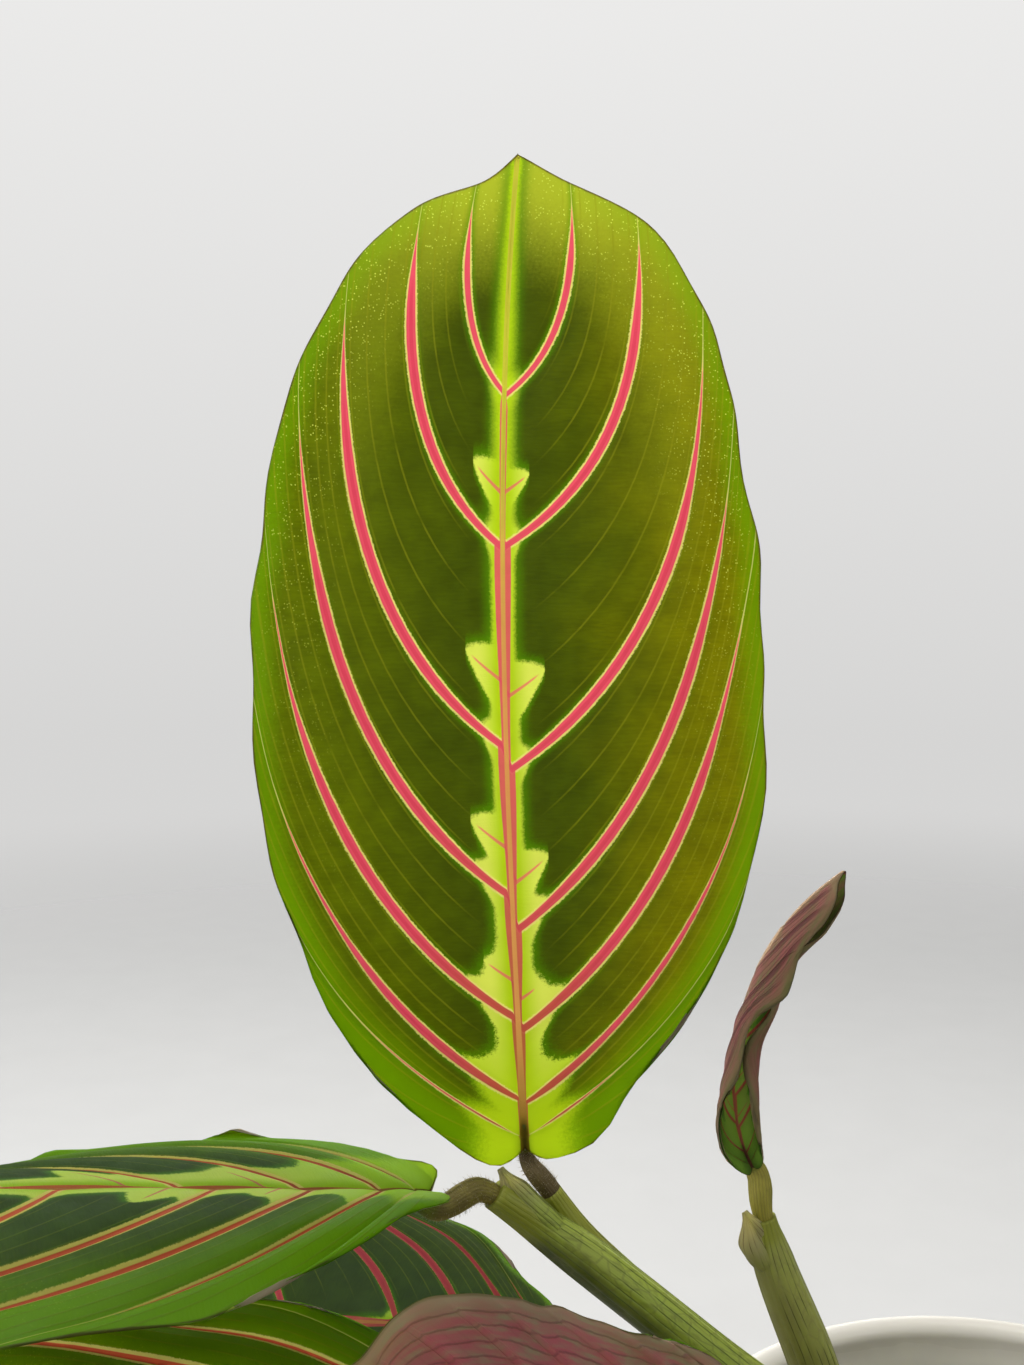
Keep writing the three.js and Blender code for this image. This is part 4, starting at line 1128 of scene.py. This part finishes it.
def soil():
    bottom, low, shoulder = POT["floor_radius"], SOIL["bottom"], SOIL["shoulder"]
    slope = (POT["mouth"] - bottom) / (POT["height"] - 2.5 - POT["floor"] - POT["corner"])
    edge = bottom + slope * (SOIL["edge"] - POT["floor"] - POT["corner"]) - 0.25
    profile = [(0, low), (bottom - POT["corner"] - SOIL["clear"], low), (bottom - 0.4, shoulder)]
    profile += [(bottom - 0.35 + (edge - bottom + 0.35) * i / 16,
                 shoulder + (SOIL["edge"] - shoulder) * i / 16) for i in range(1, 16)]
    profile += [(edge * (1 - i / 44), SURFACE) for i in range(44)] + [(0, SURFACE)]
    points, faces = lathe(profile, 132)
    points = np.array(points, float)
    above = points[:, 2] == SURFACE
    points[above, 2] = soil_height(points[above, 0], points[above, 1])
    paint = soil_paint("soil", (30, 23, 17), (62, 48, 36), 240)
    piece("soil_bed", "potting_soil", "soil", points, faces, [paint])
    roots = [tubes[0][1] for tubes in STEMS.values()]
    draw = np.random.default_rng(7)
    form = bmesh.new()
    bmesh.ops.create_icosphere(form, subdivisions=2, radius=1)
    corners = np.array([v.co[:] for v in form.verts])
    shell = [[v.index for v in face.verts] for face in form.faces]
    form.free()
    for name, how_many, sizes, squash, dark, light, scale in GRAINS:
        points, faces = [], []
        while len(points) < how_many * len(corners):
            radius = (edge - 1.4) * math.sqrt(draw.random())
            angle = draw.uniform(0, 2 * math.pi)
            x, y = radius * math.cos(angle), radius * math.sin(angle)
            if any(math.hypot(x - r[0], y - r[1]) < r[3] + 1.2 for r in roots):
                continue
            size = draw.uniform(*sizes)
            grain = corners * (1 + 0.16 * np.sin(corners @ draw.normal(0, 3.2, (3, 3))).mean(1)[:, None])
            grain = grain * (size, size * squash[0], size * squash[1])
            turn, tilt = draw.uniform(0, 2 * math.pi), draw.normal(0, 0.35)
            c, s, ct, st = math.cos(turn), math.sin(turn), math.cos(tilt), math.sin(tilt)
            grain = grain @ np.array([[ct, 0, st], [0, 1, 0], [-st, 0, ct]]).T
            grain = grain @ np.array([[c, -s, 0], [s, c, 0], [0, 0, 1]]).T
            z = float(soil_height(np.array(x), np.array(y))) + size * squash[1] * 0.25
            n = len(points)
            points += (grain + (x, y, z)).tolist()
            faces += [[v + n for v in face] for face in shell]
        piece(f"soil_{name}", None, "soil", points, faces, [soil_paint(name, dark, light, scale)])


# ---- the plant ----
upper = leaf_upper("leaf_upper", UPPER)
lit_upper = leaf_upper("leaf_upper_lit", UPPER, 0.84, 0.2)
young = leaf_upper("young_upper", {key: (tone, tone) for key, tone in YOUNG.items()})
under = leaf_under("leaf_under", (130, 70, 84), (112, 110, 86), (0.74, 0.69, 0.56, 1), 0.5)
shaded_under = leaf_under(
    "leaf_under_shaded", (164, 74, 92), (136, 134, 104), (0.52, 0.3, 0.27, 1), 0.36, 0.85
)
young_under = leaf_under("young_under", (176, 98, 98), (110, 128, 66), (0.7, 0.6, 0.5, 1), 0.5)
stem_material, joint_material, hair_material = stem_paint(), pulvinus_paint(), hair_paint()
FACES = {"leaf_a": [lit_upper, under], "leaf_e": [upper, shaded_under], "leaf_f": [young, young_under]}
# How olive each pulvinus is, from 0, brown, to 1.
TONES = {"a": 0.05, "b": 0.5, "c": 0.4, "d": 0.45, "e": 0.35, "f": 1.0}
for number, (name, values) in enumerate(BLADES.items()):
    leaf(name, values, number, FACES.get(name, [upper, under]))
    joint, tone = f"pulvinus_{name[-1]}", TONES.get(name[-1], 0.2 + 0.06 * (number % 5))
    surface = pulvinus(joint, Blade(name, values, number), joint_material, tone)
    if name != "leaf_f":
        hairs(joint, hair_material, *surface)
for number, (name, tubes) in enumerate(STEMS.items()):
    stem(name, tubes, stem_material, number)
pot()
soil()

# ---- floor, light and background ----
mesh_object("floor", *lathe([(0, 0), (300, 0), (700, 0), (1200, 0)], 96), [floor_paint()])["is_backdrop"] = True

# place, aim, size, power, colour, whether it shows in gloss, spread in degrees
LAMPS = {
    "window": ((-0.12, 1.0, 0.4), (-0.1, 0, 0.46), (0.9, 0.5), 7.9, (1, 0.995, 0.98), False, 56),
    "top": ((-0.2, 0.2, 1.0), (-0.05, 0, 0.12), (0.8, 0.8), 9, (1, 0.995, 0.98), True, 180),
    "softbox": ((-0.55, -0.6, 0.75), (-0.05, 0, 0.12), (0.8, 0.8), 2.6, (1, 0.99, 0.97), True, 180),
    "side": ((-1.0, -0.12, 0.34), (-0.12, -0.05, 0.13), (0.5, 0.5), 5, (1, 1, 1), True, 180),
    "fill": ((0.8, -0.35, 0.6), (0, 0, 0.12), (0.7, 0.7), 2.5, (1, 1, 1), True, 180),
}
for name, (place, aim, size, power, colour, glossy, spread) in LAMPS.items():
    data = bpy.data.lights.new(name, "AREA")
    data.shape = "RECTANGLE"
    data.size, data.size_y = size
    data.energy = power
    data.color = colour
    data.spread = math.radians(spread)
    lamp = bpy.data.objects.new(name, data)
    lamp.location = place
    lamp.rotation_euler = (Vector(aim) - Vector(place)).to_track_quat("-Z", "Y").to_euler()
    lamp.visible_camera = False
    lamp.visible_glossy = glossy
    bpy.context.scene.collection.objects.link(lamp)

# The background grades with height where it is seen, and lights the plant evenly.
sky = Paint("studio", bpy.data.worlds.new("studio"))
bpy.context.scene.world = sky.owner
rays = (sky.node("LightPath", {}, output) for output in ("Is Camera Ray", "Is Glossy Ray"))
height = sky.split(sky.node("TexCoord", {}, "Generated"))[2]
grade = sky.ramp(height, -0.12, 0.36, 0.67, 0.83, "LINEAR")
bright = sky.node("Background", {0: (1, 0.995, 0.985, 1), 1: grade})
even = sky.node("Background", {0: (1, 1, 1, 1), 1: 0.34})
sky.node("OutputWorld", {0: sky.node("MixShader", {0: sky.math("MAXIMUM", *rays), 1: even, 2: bright})})
bpy.context.scene.view_settings.view_transform = "Standard"
bpy.context.scene.view_settings.look = "None"

boxes = {"cad": cad_box, "visual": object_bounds()}
{key: [[float(c) for c in corner] for corner in box] for key, box in boxes.items()}
